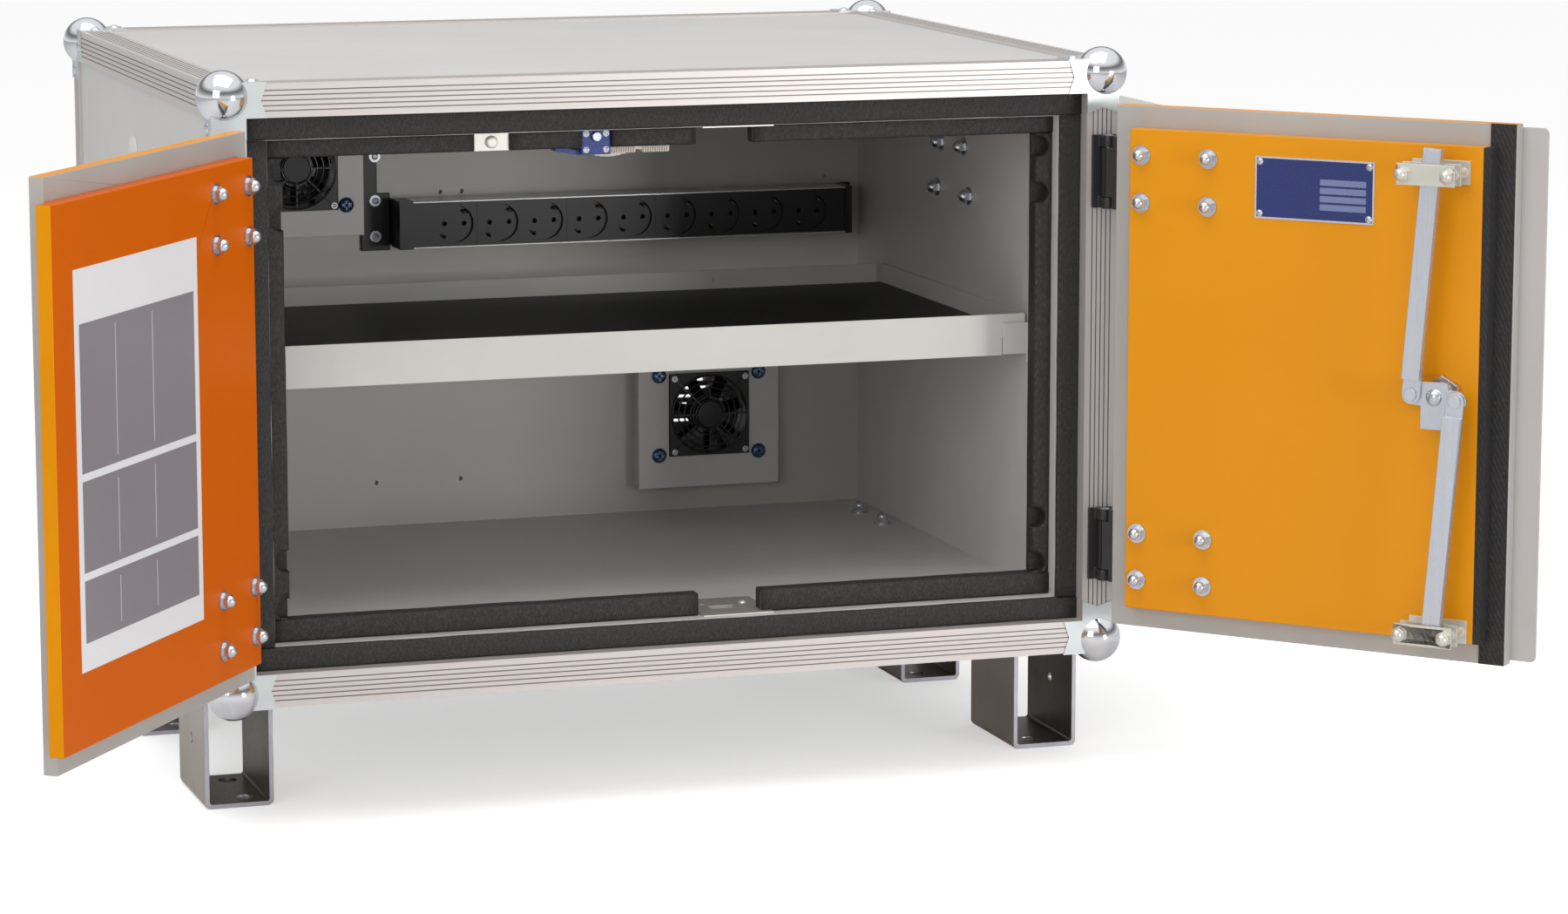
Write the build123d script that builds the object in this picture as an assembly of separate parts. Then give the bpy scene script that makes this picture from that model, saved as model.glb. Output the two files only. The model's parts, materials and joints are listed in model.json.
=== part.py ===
"""Battery charging and storage cabinet: insulated case on four feet, with two open doors.

Frame: +X to the right, +Y to the back, +Z up, millimetres. The origin is on the floor, in the
middle of the anchor holes in the four feet. Places on the case are given as X, as depth behind
its front face and as height above its underside. The doors are drawn closed, then swung open.
"""
from build123d import *
import math
import os

os.makedirs("parts", exist_ok=True)

# Case: outside size over the edge rails, and the insulated panels
case_width = 800.0
case_depth = 640.0
case_height = 524.0
panel_thickness = 49.0

# Edge rails: grooved aluminium angle, with a box section at the front
rail_leg = 28.5
rail_wall = 2.0
front_rail_depth = 18.0
groove_width = 1.0
groove_depth = 0.5
groove_pitch = 4.2
groove_count = 5

# Ball corners: a ball let into the corner, with forked legs over the rails
ball_radius = 22.3
ball_inset = 11.2
corner_plate = 1.2
corner_leg = 46.0
corner_notch = 5.0

# Feet: bent steel brackets, with a flange under the floor panel
foot_height = 104.0
foot_width = 60.0
foot_depth = 110.0
foot_wall = 4.0
foot_flange = 28.0
foot_hole_radius = 8.0
foot_hole_spacing = 67.0
foot_hole_inset = 38.0
foot_side_hole = 4.5
front_foot_depth = 139.0
rear_foot_setback = 200.0
foot_bolt_radius = 4.0
foot_bolt_hex = 7.5
foot_bolt_head = 5.0
foot_screw_length = 30.0

# Inner rear wall with the air duct behind it, and the air outlets in the back
air_duct = 32.0
inner_wall = 12.0
vent_radius = 35.0
vent_cover_radius = 47.0
vent_cover = 7.0
vent_slot = 3.5
vent_slot_pitch = 8.0
vent_slot_count = 7

# Door seals on the case: an outer ring behind the front rails, an inner ring in the mouth
outer_seal_depth = 13.0
outer_seal_width = 20.0
inner_seal_depth = 28.2
inner_seal_length = 18.0
inner_seal_side = 16.0
inner_seal_top = 16.0
inner_seal_bottom = 20.0
top_seal_gap = (24.0, 76.0)
bottom_seal_gap = (25.0, 83.0)
seal_cut_clearance = 0.5
seal_dent_clearance = 0.5

# Doors: an outer leaf between the rails and an inner leaf that enters the mouth
hinge_inset = 12.0
hinge_out = 10.0
right_open = 131.5
left_open = 126.0
leaf_side_gap = 2.0
leaf_bottom_gap = 4.5
leaf_top_gap = 6.5
leaf_meeting_gap = 1.5
outer_leaf = 12.0
inner_leaf = 15.0
mouth_side_gap = 1.5
mouth_bottom_gap = 3.0
mouth_top_gap = 5.0
left_door_setback = 0.6
lap_reach = 17.5
lap_setback = 2.6
edge_seal = 6.5
edge_seal_gap = 1.0
lap_seal_start = 2.5
lap_seal = 0.7
astragal_left = -21.0
astragal_right = 26.0
astragal_sheet = 2.0
astragal_inset = 3.0
astragal_corner = 5.0

# Hinges: a fixed leaf on the rail, a strap on the door, and a pin
hinge_rise = 98.0
hinge_drop = 96.5
hinge_height = 64.0
knuckle_radius = 5.75
pin_radius = 3.0
pin_clearance = 0.05
pin_head_radius = 4.0
pin_head = 1.0
knuckle_gap = 0.5
end_knuckle = 10.0
fixed_leaf_width = 22.5
fixed_leaf = 2.5
strap_arm = 4.0
strap_clearance = 1.0
strap_length = 126.0
strap_shoulder = 19.0
bolt_insets = (50.0, 113.0)
bolt_row = 20.5
door_bolt_radius = 3.0
door_bolt_head_radius = 6.5
door_bolt_head = 3.0
hole_clearance = 0.2
washer_radius = 8.5
washer = 1.6
cap_nut_hex = 6.5
cap_nut_height = 5.0
cap_nut_radius = 5.2
cap_nut_dome = 4.6

# Latch on the right door: handle, cam and two slanted rods
latch_x = 55.0
cam_radius = 19.8
cam_start = 5.0
cam_plate = 3.0
cam_depth = 47.0
cam_ear = 8.5
cam_hub_width = 24.0
cam_hub_height = 26.0
cam_tab_drop = 27.0
cam_screw_radius = 7.0
cam_screw_head = 4.0
barrel_radius = 11.0
barrel_clearance = 0.5
barrel_flange_radius = 19.0
barrel_flange = 4.0
barrel_nut = 8.0
barrel_nut_hex = 17.0
spindle_radius = 4.95
spindle_clearance = 0.05
rod_slant = 4.6
rod_reach = 13.8
rod_width = 16.0
rod_thickness = 8.0
rod_lug = 3.0
rod_lug_length = 13.0
rod_gap = 0.3
pivot_radius = 2.95
pivot_clearance = 0.05
pivot_head_radius = 5.5
pivot_head = 1.8
handle_length = 98.0
handle_width = 16.0
handle_thickness = 11.0
handle_hub_radius = 15.0
handle_hub = 24.0

# Rod guides on the right door: base plate, two studs with spacers, saddle and keeper plate
upper_guide_shift = 2.1
upper_guide_drop = 21.5
lower_guide_shift = 4.8
lower_guide_rise = 10.0
guide_studs = 40.0
guide_width = 52.0
guide_base_height = 20.0
guide_base = 2.0
guide_plate_height = 18.0
guide_plate = 2.5
guide_spacer_radius = 4.0
guide_saddle_depth = 46.5
guide_keeper_depth = 60.0

# Strike plates in floor and ceiling, with a slot for the rod end
strike_left = 28.0
strike_right = 92.0
strike_front = 22.0
strike_back = 95.0
strike_plate = 1.5
strike_screw = (78.0, 69.0)
strike_rivet = (41.0, 70.0)
strike_rivet_radius = 3.0
strike_rivet_dome = 1.0
slot_side_clearance = 3.0
slot_depth_clearance = 2.4
slot_pocket = 19.0

# Door catch and door switch under the ceiling, pressed by the left door
fitting_depth = 32.0
catch_x = -155.0
catch_width = 31.0
catch_height = 16.0
catch_plate = 2.0
catch_back_depth = 50.0
knob_radius = 5.0
knob_drop = 8.5
knob_length = 10.0
knob_stem_radius = 3.0
knob_stem = 16.0
knob_reach = 3.7
switch_x = -63.5
switch_width = 26.0
switch_height = 22.0
switch_length = 34.0
plunger_radius = 4.0
plunger_drop = 6.5
plunger_length = 16.0
plunger_reach = 3.7
slide_clearance = 0.05

# Shelf: a sheet steel tray on two angle rails
shelf_front = 85.0
shelf_back_gap = 80.0
shelf_side_gap = 2.5
shelf_top_drop = 182.0
shelf_lip = 37.0
shelf_upstand = 19.0
shelf_sheet = 1.5
shelf_corner_gap = 7.0
shelf_mat = 1.5
shelf_mat_inset = 2.0
shelf_rail_leg = 24.0
shelf_rail = 2.0
shelf_tab_height = 28.0
shelf_tab_drop = 15.5
shelf_clearance = 0.3

# Socket strip on the inner rear wall
strip_fan_gap = 1.0
strip_wall_gap = 21.5
strip_top_drop = 111.0
strip_height = 44.5
strip_reach = 42.0
strip_sheet = 1.5
socket_pitch = 44.0
socket_start = 53.5
socket_end = 40.0
socket_radius = 18.0
socket_recess = 3.0
socket_pin_radius = 2.4
socket_pin_depth = 12.0
socket_pin_spread = 9.5
ear_width = 28.5
ear_step = 16.0
ear_rise = 48.0
ear_foot = 5.0
ear_sheet = 3.0
right_ear_width = 12.0

# Fans: upper one from the left wall and ceiling, lower one from the right wall and floor.
# Each has the half size of its cover block and the place of its screws from the middle.
upper_fan_inset = 137.0
upper_fan_drop = 78.0
upper_fan_cover = (65.0, 48.0, 36.0)
lower_fan_inset = 160.0
lower_fan_rise = 96.0
lower_fan_cover = (71.0, 50.5, 39.0)
fan_block = 20.0
fan_size = 80.0
fan_depth = 25.0
fan_proud = 3.0
fan_fit = 0.3
fan_bore_radius = 37.5
fan_hub_radius = 17.0
fan_tip_gap = 1.5
fan_blades = 7
fan_blade = 1.6
fan_blade_chord = 13.0
fan_blade_pitch = 38.0
fan_hole_offset = 35.75
fan_hole_radius = 2.2
fan_front_gap = 2.5
fan_base = 4.0
fan_base_gap = 0.5
fan_strut_width = 5.0
fan_strut_turns = (30, 150, 270)
fan_root = 2.0
fan_axle_radius = 2.0
fan_axle_clearance = 0.05
fan_axle_length = 12.0
guard_sheet = 1.6
guard_wire = 1.5
guard_ring_radii = (14.0, 20.0, 26.0, 32.0, 38.0)
guard_eye_radius = 4.0

# Electrical box on the right side, bolted through the panel
box_front_depth = 110.0
box_length = 300.0
box_top_drop = 5.0
box_height = 155.0
box_reach = 96.0
box_lid = 6.0
box_wall = 2.5
box_bolt_places = ((250.0, 49.0), (310.0, 50.0), (235.0, 93.0), (319.0, 93.0))
box_bolt_radius = 4.0
gland_radius = 12.0
gland_length = 18.0
gland_bore = 6.0
gland_depth = 150.0

# Case fasteners
rivet_radius = 4.6
rivet_dome = 2.6
cover_screw_radius = 7.4
cover_screw_dome = 3.2
rivet_from_corner = 36.5
strip_holes = ((49.5, 4.0), (70.5, 4.0), (434.5, 7.0))
floor_holes = ((215.0, 42.0), (298.0, 42.0))
wall_hole_radius = 2.2
wall_hole = 4.0

left, right = (-1, 0, 0), (1, 0, 0)
forward, backward = (0, -1, 0), (0, 1, 0)
down, up = (0, 0, -1), (0, 0, 1)

half_turn = 180

half = case_width / 2
rear_foot_depth = case_depth - rear_foot_setback
front = -(front_foot_depth + rear_foot_depth) / 2
skin = half - rail_wall
rear_skin = case_depth - rail_wall
top_skin = case_height - rail_wall
mouth_side = half - panel_thickness
floor_height = panel_thickness
ceiling_height = case_height - panel_thickness
opening_side = half - rail_leg
opening_top = case_height - rail_leg
inner_wall_depth = rear_skin - panel_thickness - air_duct - inner_wall
upper_fan = (upper_fan_inset - mouth_side, ceiling_height - upper_fan_drop, *upper_fan_cover)
lower_fan = (mouth_side - lower_fan_inset, floor_height + lower_fan_rise, *lower_fan_cover)
fans = (upper_fan, lower_fan)

hinge_x = half - hinge_inset
hinge_heights = (hinge_rise, case_height - hinge_drop)
leaf_side = opening_side - leaf_side_gap
leaf_bottom = rail_leg + leaf_bottom_gap
leaf_top = opening_top - leaf_top_gap
inner_side = mouth_side - mouth_side_gap
inner_bottom = floor_height + mouth_bottom_gap
inner_top = ceiling_height - mouth_top_gap
leaf_face = outer_leaf + inner_leaf
right_inner_edge = lap_reach + edge_seal_gap + edge_seal
strap_front = -(fixed_leaf + strap_clearance + strap_arm)
bolt_xs = [hinge_x - inset for inset in bolt_insets]

foot_hole_x = half - foot_hole_inset
foot_bolt_x = half - foot_width - (foot_flange - foot_wall) / 2
foot_hole_shifts = (-foot_hole_spacing / 2, foot_hole_spacing / 2)

latch_height = case_height / 2
rod_length = ceiling_height + rod_reach - latch_height - cam_radius
rod_depth = cam_depth + cam_plate + rod_gap
slot_sides = (latch_x - rod_width / 2 - slot_side_clearance, latch_x + rod_width / 2 + slot_side_clearance)
slot_depths = (rod_depth - slot_depth_clearance, rod_depth + rod_thickness + slot_depth_clearance)

fan_front = inner_wall_depth - fan_block - fan_proud
fan_back = fan_front + fan_depth
fan_opening = fan_size / 2 + fan_fit
shelf_half = mouth_side - shelf_side_gap
shelf_back = inner_wall_depth - shelf_back_gap
shelf_top = ceiling_height - shelf_top_drop
shelf_floor = shelf_top - shelf_upstand
shelf_underside = shelf_floor - shelf_sheet

strip_left = upper_fan[0] + upper_fan[2] + strip_fan_gap + ear_width
strip_right = mouth_side - strip_wall_gap
strip_front = inner_wall_depth - strip_reach
strip_top = ceiling_height - strip_top_drop
strip_bottom = strip_top - strip_height
socket_first = strip_left + socket_start
socket_count = 1 + int((strip_right - socket_end - socket_first) / socket_pitch)
wall_holes = [(strip_left + across, strip_top + rise) for across, rise in strip_holes]
wall_holes += [(across - mouth_side, floor_height + rise) for across, rise in floor_holes]

box_top = ceiling_height - box_top_drop
box_bottom = box_top - box_height
box_bolts = [(depth, ceiling_height - drop) for depth, drop in box_bolt_places]


def y_at(depth):
    """Row Y of a depth behind the front face of the case."""
    return front + depth


def z_at(height):
    """Row Z of a height above the underside of the case."""
    return foot_height + height


def block(x0, x1, d0, d1, h0, h1):
    """Box between two corners, given as X, depth and height."""
    return Pos((x0 + x1) / 2, y_at((d0 + d1) / 2), z_at((h0 + h1) / 2)) * Box(x1 - x0, d1 - d0, h1 - h0)


def plane_at(start, direction, across=None):
    """Drawing plane at a point (X, depth, height), facing along a direction."""
    x, depth, height = start
    return Plane((x, y_at(depth), z_at(height)), x_dir=across, z_dir=direction)


def bar(start, direction, radius, length, sides=0):
    """Round bar, or one with flat sides, from a point along a direction."""
    profile = RegularPolygon(radius, sides) if sides else Circle(radius)
    return extrude(plane_at(start, direction) * profile, length)


def dome(start, direction, radius, rise):
    """Low dome that stands on a point."""
    ball = (radius**2 + rise**2) / (2 * rise)
    cap = plane_at(start, direction) * Pos(0, 0, rise - ball) * Sphere(ball)
    return cap & bar(start, direction, radius, rise)


def onward(start, direction, distance):
    """Point at a distance along a direction."""
    return tuple(place + distance * step for place, step in zip(start, direction))


def cap_nut(start, direction):
    """Washer, hexagon and dome that stand on a point."""
    seat = onward(start, direction, washer)
    crown = onward(seat, direction, cap_nut_height)
    nut = bar(start, direction, washer_radius, washer)
    nut += bar(seat, direction, cap_nut_hex, cap_nut_height, 6)
    return nut + dome(crown, direction, cap_nut_radius, cap_nut_dome)


def group(*shapes):
    """One node made of separate solids."""
    return Compound(children=[solid for shape in shapes for solid in shape.solids()])


def mirrored(shape):
    """The same piece on the other side of the cabinet."""
    return mirror(shape, about=Plane.YZ)


def swung(shape, side):
    """Turn a piece from the closed door to the open one. side is 1 on the right, -1 on the left."""
    pin_line = Axis((side * hinge_x, y_at(-hinge_out), 0), (0, 0, 1))
    return shape.rotate(pin_line, right_open if side > 0 else -left_open)


def save(name, shape):
    """Write one node."""
    export_step(shape, f"parts/{name}.step")


# Insulated panels and inner rear wall

def make_panels():
    slot = (*slot_sides, *slot_depths)
    top = block(-skin, skin, front_rail_depth, rear_skin, ceiling_height, top_skin)
    top -= block(*slot, ceiling_height, ceiling_height + slot_pocket)
    bottom = block(-skin, skin, front_rail_depth, rear_skin, rail_wall, floor_height)
    bottom -= block(*slot, floor_height - slot_pocket, floor_height)
    for x in (-foot_bolt_x, foot_bolt_x):
        for shift in foot_hole_shifts:
            screw = (x, front_foot_depth + shift, rail_wall)
            bottom -= bar(screw, up, foot_bolt_radius + hole_clearance, foot_screw_length)
            bolt = (x, rear_foot_depth + shift, rail_wall)
            bottom -= bar(bolt, up, foot_bolt_radius + hole_clearance, floor_height - rail_wall)
    side = block(mouth_side, skin, front_rail_depth, rear_skin, floor_height, ceiling_height)
    drilled = side
    for depth, height in box_bolts:
        drilled -= bar((mouth_side, depth, height), right, box_bolt_radius + hole_clearance, skin - mouth_side)
    rear = block(-mouth_side, mouth_side, rear_skin - panel_thickness, rear_skin, floor_height, ceiling_height)
    wall = block(-mouth_side, mouth_side, inner_wall_depth, inner_wall_depth + inner_wall,
                 floor_height, ceiling_height)
    for x, height, _, _, _ in fans:
        rear -= bar((x, rear_skin, height), forward, vent_radius, panel_thickness)
        wall -= block(x - fan_opening, x + fan_opening, inner_wall_depth, inner_wall_depth + inner_wall,
                      height - fan_opening, height + fan_opening)
    for x, height in wall_holes:
        wall -= bar((x, inner_wall_depth, height), backward, wall_hole_radius, wall_hole)
    save("panel_top", top)
    save("panel_bottom", bottom)
    save("panel_left", mirrored(side))
    save("panel_right", drilled)
    save("panel_rear", rear)
    save("inner_rear_wall", wall)


def vent_cover_at(x, height):
    """Round louvred cap over an air outlet in the back."""
    cover = bar((x, rear_skin, height), backward, vent_cover_radius, vent_cover)
    first = -(vent_slot_count - 1) / 2 * vent_slot_pitch
    for i in range(vent_slot_count):
        rise = first + i * vent_slot_pitch
        reach = math.sqrt(vent_radius**2 - rise**2)
        cover -= block(x - reach, x + reach, rear_skin, rear_skin + vent_cover,
                       height + rise - vent_slot / 2, height + rise + vent_slot / 2)
    return cover


# Edge rails and ball corners

def rail_section(boxed):
    """Rail section with its outside corner at the origin. The front rails have a box section."""
    section = Pos(rail_leg / 2, rail_wall / 2) * Rectangle(rail_leg, rail_wall)
    section += Pos(rail_wall / 2, rail_leg / 2) * Rectangle(rail_wall, rail_leg)
    if boxed:
        inner = rail_leg - rail_wall / 2
        section += Pos(inner, front_rail_depth / 2) * Rectangle(rail_wall, front_rail_depth)
        web = front_rail_depth - rail_wall / 2
        section += Pos(rail_leg / 2, web) * Rectangle(rail_leg, rail_wall)
    first = (rail_leg - (groove_count - 1) * groove_pitch) / 2
    for i in range(groove_count):
        place = first + i * groove_pitch
        section -= Pos(place, groove_depth / 2) * Rectangle(groove_width, groove_depth)
        section -= Pos(groove_depth / 2, place) * Rectangle(groove_depth, groove_width)
    return section


def rail(corner, first_leg, second_leg, length, boxed=False):
    """Rail from its outside corner, running along first leg x second leg."""
    run = Vector(*first_leg).cross(Vector(*second_leg))
    return extrude(plane_at(corner, run, first_leg) * rail_section(boxed), length)


def make_rails():
    run_x = 2 * opening_side
    run_z = opening_top - rail_leg
    run_y = case_depth - 2 * rail_leg
    rear_end = case_depth - rail_leg
    top = case_height
    save("front_rail_top", rail((-opening_side, 0, top), down, backward, run_x, True))
    save("front_rail_bottom", rail((opening_side, 0, 0), up, backward, run_x, True))
    save("front_rail_left", rail((-half, 0, rail_leg), right, backward, run_z, True))
    save("front_rail_right", rail((half, 0, opening_top), left, backward, run_z, True))
    save("rear_rails", group(
        rail((opening_side, case_depth, top), down, forward, run_x),
        rail((-opening_side, case_depth, 0), up, forward, run_x),
        rail((-half, case_depth, opening_top), right, forward, run_z),
        rail((half, case_depth, rail_leg), left, forward, run_z)))
    save("side_rails", group(
        rail((-half, rear_end, top), down, right, run_y),
        rail((half, rail_leg, top), down, left, run_y),
        rail((-half, rail_leg, 0), up, right, run_y),
        rail((half, rear_end, 0), up, left, run_y)))


def corner_face(first_leg, second_leg):
    """Forked plate over one face of the front top right corner."""
    edge = -corner_plate
    tip, apex, middle = corner_leg, corner_leg - corner_notch, rail_leg / 2
    outline = Polyline((edge, edge), (tip, edge), (apex, middle), (tip, rail_leg), (rail_leg, rail_leg),
                       (rail_leg, tip), (middle, apex), (edge, tip), close=True)
    outward = Vector(*first_leg).cross(Vector(*second_leg))
    place = plane_at((half, 0, case_height), outward, first_leg)
    return extrude(place * make_face(outline), corner_plate)


def make_ball_corners():
    centre = Pos(half - ball_inset, y_at(ball_inset), z_at(case_height - ball_inset))
    corner = centre * Sphere(ball_radius) - block(-half, half, 0, case_depth, 0, case_height)
    for first_leg, second_leg in ((left, down), (backward, left), (down, backward)):
        corner += corner_face(first_leg, second_leg)
    lower = mirror(corner, about=Plane.XY.offset(z_at(case_height / 2)))
    front_set = [corner, lower, mirrored(corner), mirrored(lower)]
    middle = Plane((0, y_at(case_depth / 2), 0), z_dir=backward)
    save("ball_corners_front", group(*front_set))
    save("ball_corners_rear", group(*(mirror(piece, about=middle) for piece in front_set)))


# Feet

def foot_at(depth):
    """Foot on the right side: floor plate, two walls, and a flange under the floor panel."""
    d0, d1 = depth - foot_depth / 2, depth + foot_depth / 2
    inner = half - foot_width
    foot = block(inner, half, d0, d1, -foot_height, foot_wall - foot_height)
    foot += block(half - foot_wall, half, d0, d1, -foot_height, 0)
    foot += block(inner, inner + foot_wall, d0, d1, -foot_height, rail_wall)
    foot += block(inner - foot_flange, inner + foot_wall, d0, d1, rail_wall - foot_wall, rail_wall)
    for shift in foot_hole_shifts:
        anchor = (foot_hole_x, depth + shift, -foot_height)
        foot -= bar(anchor, up, foot_hole_radius, foot_wall)
        bolt = (foot_bolt_x, depth + shift, rail_wall)
        foot -= bar(bolt, down, foot_bolt_radius + hole_clearance, foot_wall)
    return foot - bar((half, depth, -foot_height / 2), left, foot_side_hole, foot_wall)


def make_feet():
    for name, depth in (("front", front_foot_depth), ("rear", rear_foot_depth)):
        foot = foot_at(depth)
        save(f"foot_{name}_right", foot)
        save(f"foot_{name}_left", mirrored(foot))


# Seals on the case

def ring(side, bottom, top, widths, d0, d1):
    """Flat ring inside a rectangular mouth. widths are its side, bottom and top widths."""
    side_width, bottom_width, top_width = widths
    hole = block(side_width - side, side - side_width, d0, d1, bottom + bottom_width, top - top_width)
    return block(-side, side, d0, d1, bottom, top) - hole


def seal_dents():
    """X and height of the cap nuts on the right door that press into the seal ring."""
    column = bolt_xs[0]
    return [(column, height + row) for height in hinge_heights for row in (-bolt_row, bolt_row)]


def make_seals():
    outer = ring(opening_side, rail_leg, opening_top, (outer_seal_width,) * 3,
                 outer_seal_depth, front_rail_depth)
    d0, d1 = inner_seal_depth, inner_seal_depth + inner_seal_length
    inner = ring(mouth_side, floor_height, ceiling_height,
                 (inner_seal_side, inner_seal_bottom, inner_seal_top), d0, d1)
    seal_top = ceiling_height - inner_seal_top
    inner -= block(*top_seal_gap, d0, d1, seal_top, ceiling_height)
    inner -= block(*bottom_seal_gap, d0, d1, floor_height, floor_height + inner_seal_bottom)
    inner -= block(strike_left, strike_right, d0, d1, floor_height, floor_height + strike_plate)
    inner -= block(strike_left, strike_right, d0, d1, ceiling_height - strike_plate, ceiling_height)
    for x, width in ((catch_x, catch_width), (switch_x, switch_width)):
        reach = width / 2 + seal_cut_clearance
        inner -= block(x - reach, x + reach, d0, d1, seal_top, ceiling_height)
    nut_end = leaf_face + left_door_setback + washer + cap_nut_height + cap_nut_dome
    dent_depth = nut_end + seal_dent_clearance - d0
    for x, height in seal_dents():
        dent = bar((x, d0, height), backward, washer_radius + seal_dent_clearance, dent_depth)
        inner -= dent
        inner -= mirrored(dent)
    save("outer_seal", outer)
    save("inner_seal", inner)


# Shelf

def make_shelf():
    side, sheet = shelf_half, shelf_sheet
    rail_inner = mouth_side - shelf_rail_leg
    tray = block(-side, side, shelf_front, shelf_back, shelf_underside, shelf_floor)
    tray += block(-side, side, shelf_front, shelf_front + sheet, shelf_underside, shelf_top)
    lip_end = rail_inner - shelf_clearance
    tray += block(-lip_end, lip_end, shelf_front, shelf_front + sheet, shelf_top - shelf_lip, shelf_floor)
    tray += block(side - sheet, side, shelf_front, shelf_back, shelf_underside, shelf_top)
    tray += block(-side, sheet - side, shelf_front, shelf_back, shelf_underside, shelf_top)
    back_end = side - shelf_corner_gap
    tray += block(-back_end, back_end, shelf_back - sheet, shelf_back, shelf_underside, shelf_top)
    mat_side = side - sheet - shelf_mat_inset
    mat = block(-mat_side, mat_side, shelf_front + sheet + shelf_mat_inset,
                shelf_back - sheet - shelf_mat_inset, shelf_floor, shelf_floor + shelf_mat)
    tab_back = shelf_front - shelf_clearance
    tab_front = tab_back - shelf_rail
    bottom = shelf_underside - shelf_rail_leg
    angle = block(rail_inner, mouth_side, tab_front, shelf_back, shelf_underside - shelf_rail, shelf_underside)
    angle += block(mouth_side - shelf_rail, mouth_side, tab_front, shelf_back, bottom, shelf_underside)
    tab_bottom = shelf_underside - shelf_tab_drop
    angle += block(rail_inner, mouth_side, tab_front, tab_back, tab_bottom, tab_bottom + shelf_tab_height)
    save("shelf", tray)
    save("shelf_mat", mat)
    save("shelf_rails", group(angle, mirrored(angle)))


# Socket strip

def make_socket_strip():
    back = inner_wall_depth
    top = strip_top
    channel = block(strip_left, strip_right, strip_front, back, strip_bottom, top)
    sheet = strip_sheet
    cavity = block(strip_left, strip_right, strip_front, back - sheet, strip_bottom + sheet, top - sheet)
    face = strip_front + sheet
    body = block(strip_left, strip_right, face, back - sheet, strip_bottom + sheet, top - sheet)
    middle = strip_bottom + strip_height / 2
    for i in range(socket_count):
        x = socket_first + i * socket_pitch
        body -= bar((x, face, middle), backward, socket_radius, socket_recess)
        for spread in (-socket_pin_spread, socket_pin_spread):
            body -= bar((x + spread, face, middle), backward, socket_pin_radius, socket_pin_depth)
    wall_front = back - ear_sheet
    ear_left = strip_left - ear_width
    ear = block(ear_left, strip_left, wall_front, back, strip_bottom - ear_foot, top + ear_foot)
    ear += block(ear_left, ear_left + ear_step, wall_front, back, top, top + ear_rise)
    end_ear = block(strip_right, strip_right + right_ear_width, wall_front, back, strip_bottom, top)
    save("strip_channel", channel - cavity)
    save("socket_block", body)
    save("strip_brackets", group(ear, end_ear))


# Fans

def fan_cover_at(fan):
    """Cover block round a fan, on the inner rear wall."""
    x, height, reach, _, _ = fan
    back = inner_wall_depth
    cover = block(x - reach, x + reach, back - fan_block, back, height - reach, height + reach)
    return cover - block(x - fan_opening, x + fan_opening, back - fan_block, back,
                         height - fan_opening, height + fan_opening)


def fan_frame_at(fan):
    """Square fan frame with a round duct, and a motor base on three struts at its back."""
    x, height = fan[:2]
    middle = (x, fan_back, height)
    reach = fan_size / 2
    frame = block(x - reach, x + reach, fan_front, fan_back, height - reach, height + reach)
    frame -= bar(middle, forward, fan_bore_radius, fan_depth)
    for across in (-fan_hole_offset, fan_hole_offset):
        for rise in (-fan_hole_offset, fan_hole_offset):
            frame -= bar((x + across, fan_back, height + rise), forward, fan_hole_radius, fan_depth)
    strut = Pos((fan_bore_radius + fan_root) / 2, 0) * Rectangle(fan_bore_radius + fan_root, fan_strut_width)
    base = Circle(fan_hub_radius)
    for turn in fan_strut_turns:
        base += Rot(0, 0, turn) * strut
    frame += extrude(plane_at(middle, forward) * base, fan_base)
    axle = onward(middle, forward, fan_base)
    return frame + bar(axle, forward, fan_axle_radius, fan_axle_length)


def fan_rotor_at(fan):
    """Hub with pitched blades, on the axle of the motor base."""
    x, height = fan[:2]
    back = fan_back - fan_base - fan_base_gap
    face = fan_front + fan_front_gap
    rotor = bar((x, back, height), forward, fan_hub_radius, back - face)
    tip = fan_bore_radius - fan_tip_gap
    blade_length = tip - fan_hub_radius + fan_root
    blade = Rot(fan_blade_pitch, 0, 0) * Box(blade_length, fan_blade, fan_blade_chord)
    blade = Pos(tip - blade_length / 2, 0, 0) * blade
    place = plane_at((x, (back + face) / 2, height), forward)
    for i in range(fan_blades):
        rotor += place * (Rot(0, 0, i * 360 / fan_blades) * blade)
    rotor &= bar((x, back, height), forward, tip, back - face)
    bore = fan_axle_radius + fan_axle_clearance
    return rotor - bar((x, back, height), forward, bore, fan_axle_length)


def fan_guard_at(fan):
    """Wire guard: rings and crossed wires, with an eye at each corner of the fan."""
    x, height = fan[:2]
    hub = min(guard_ring_radii)
    outline = Circle(hub)
    for radius in guard_ring_radii:
        outline += Circle(radius + guard_wire / 2) - Circle(radius - guard_wire / 2)
    reach = 2 * fan_hole_offset * math.sqrt(2)
    for turn in (45, 135):
        outline += Rot(0, 0, turn) * Rectangle(reach, 2 * guard_wire)
    corners = [(across, rise) for across in (-1, 1) for rise in (-1, 1)]
    for across, rise in corners:
        outline += Pos(across * fan_hole_offset, rise * fan_hole_offset) * Circle(guard_eye_radius)
    guard = extrude(plane_at((x, fan_front, height), forward) * outline, guard_sheet)
    for across, rise in corners:
        eye = (x + across * fan_hole_offset, fan_front, height + rise * fan_hole_offset)
        guard -= bar(eye, forward, fan_hole_radius, guard_sheet)
    return guard


def make_fans():
    save("fan_covers", group(*(fan_cover_at(fan) for fan in fans)))
    save("fan_guards", group(*(fan_guard_at(fan) for fan in fans)))
    for name, fan in (("upper", upper_fan), ("lower", lower_fan)):
        save(f"fan_frame_{name}", fan_frame_at(fan))
        save(f"fan_rotor_{name}", fan_rotor_at(fan))
    save("vent_covers", group(*(vent_cover_at(fan[0], fan[1]) for fan in fans)))


# Fittings in the mouth of the case

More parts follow.
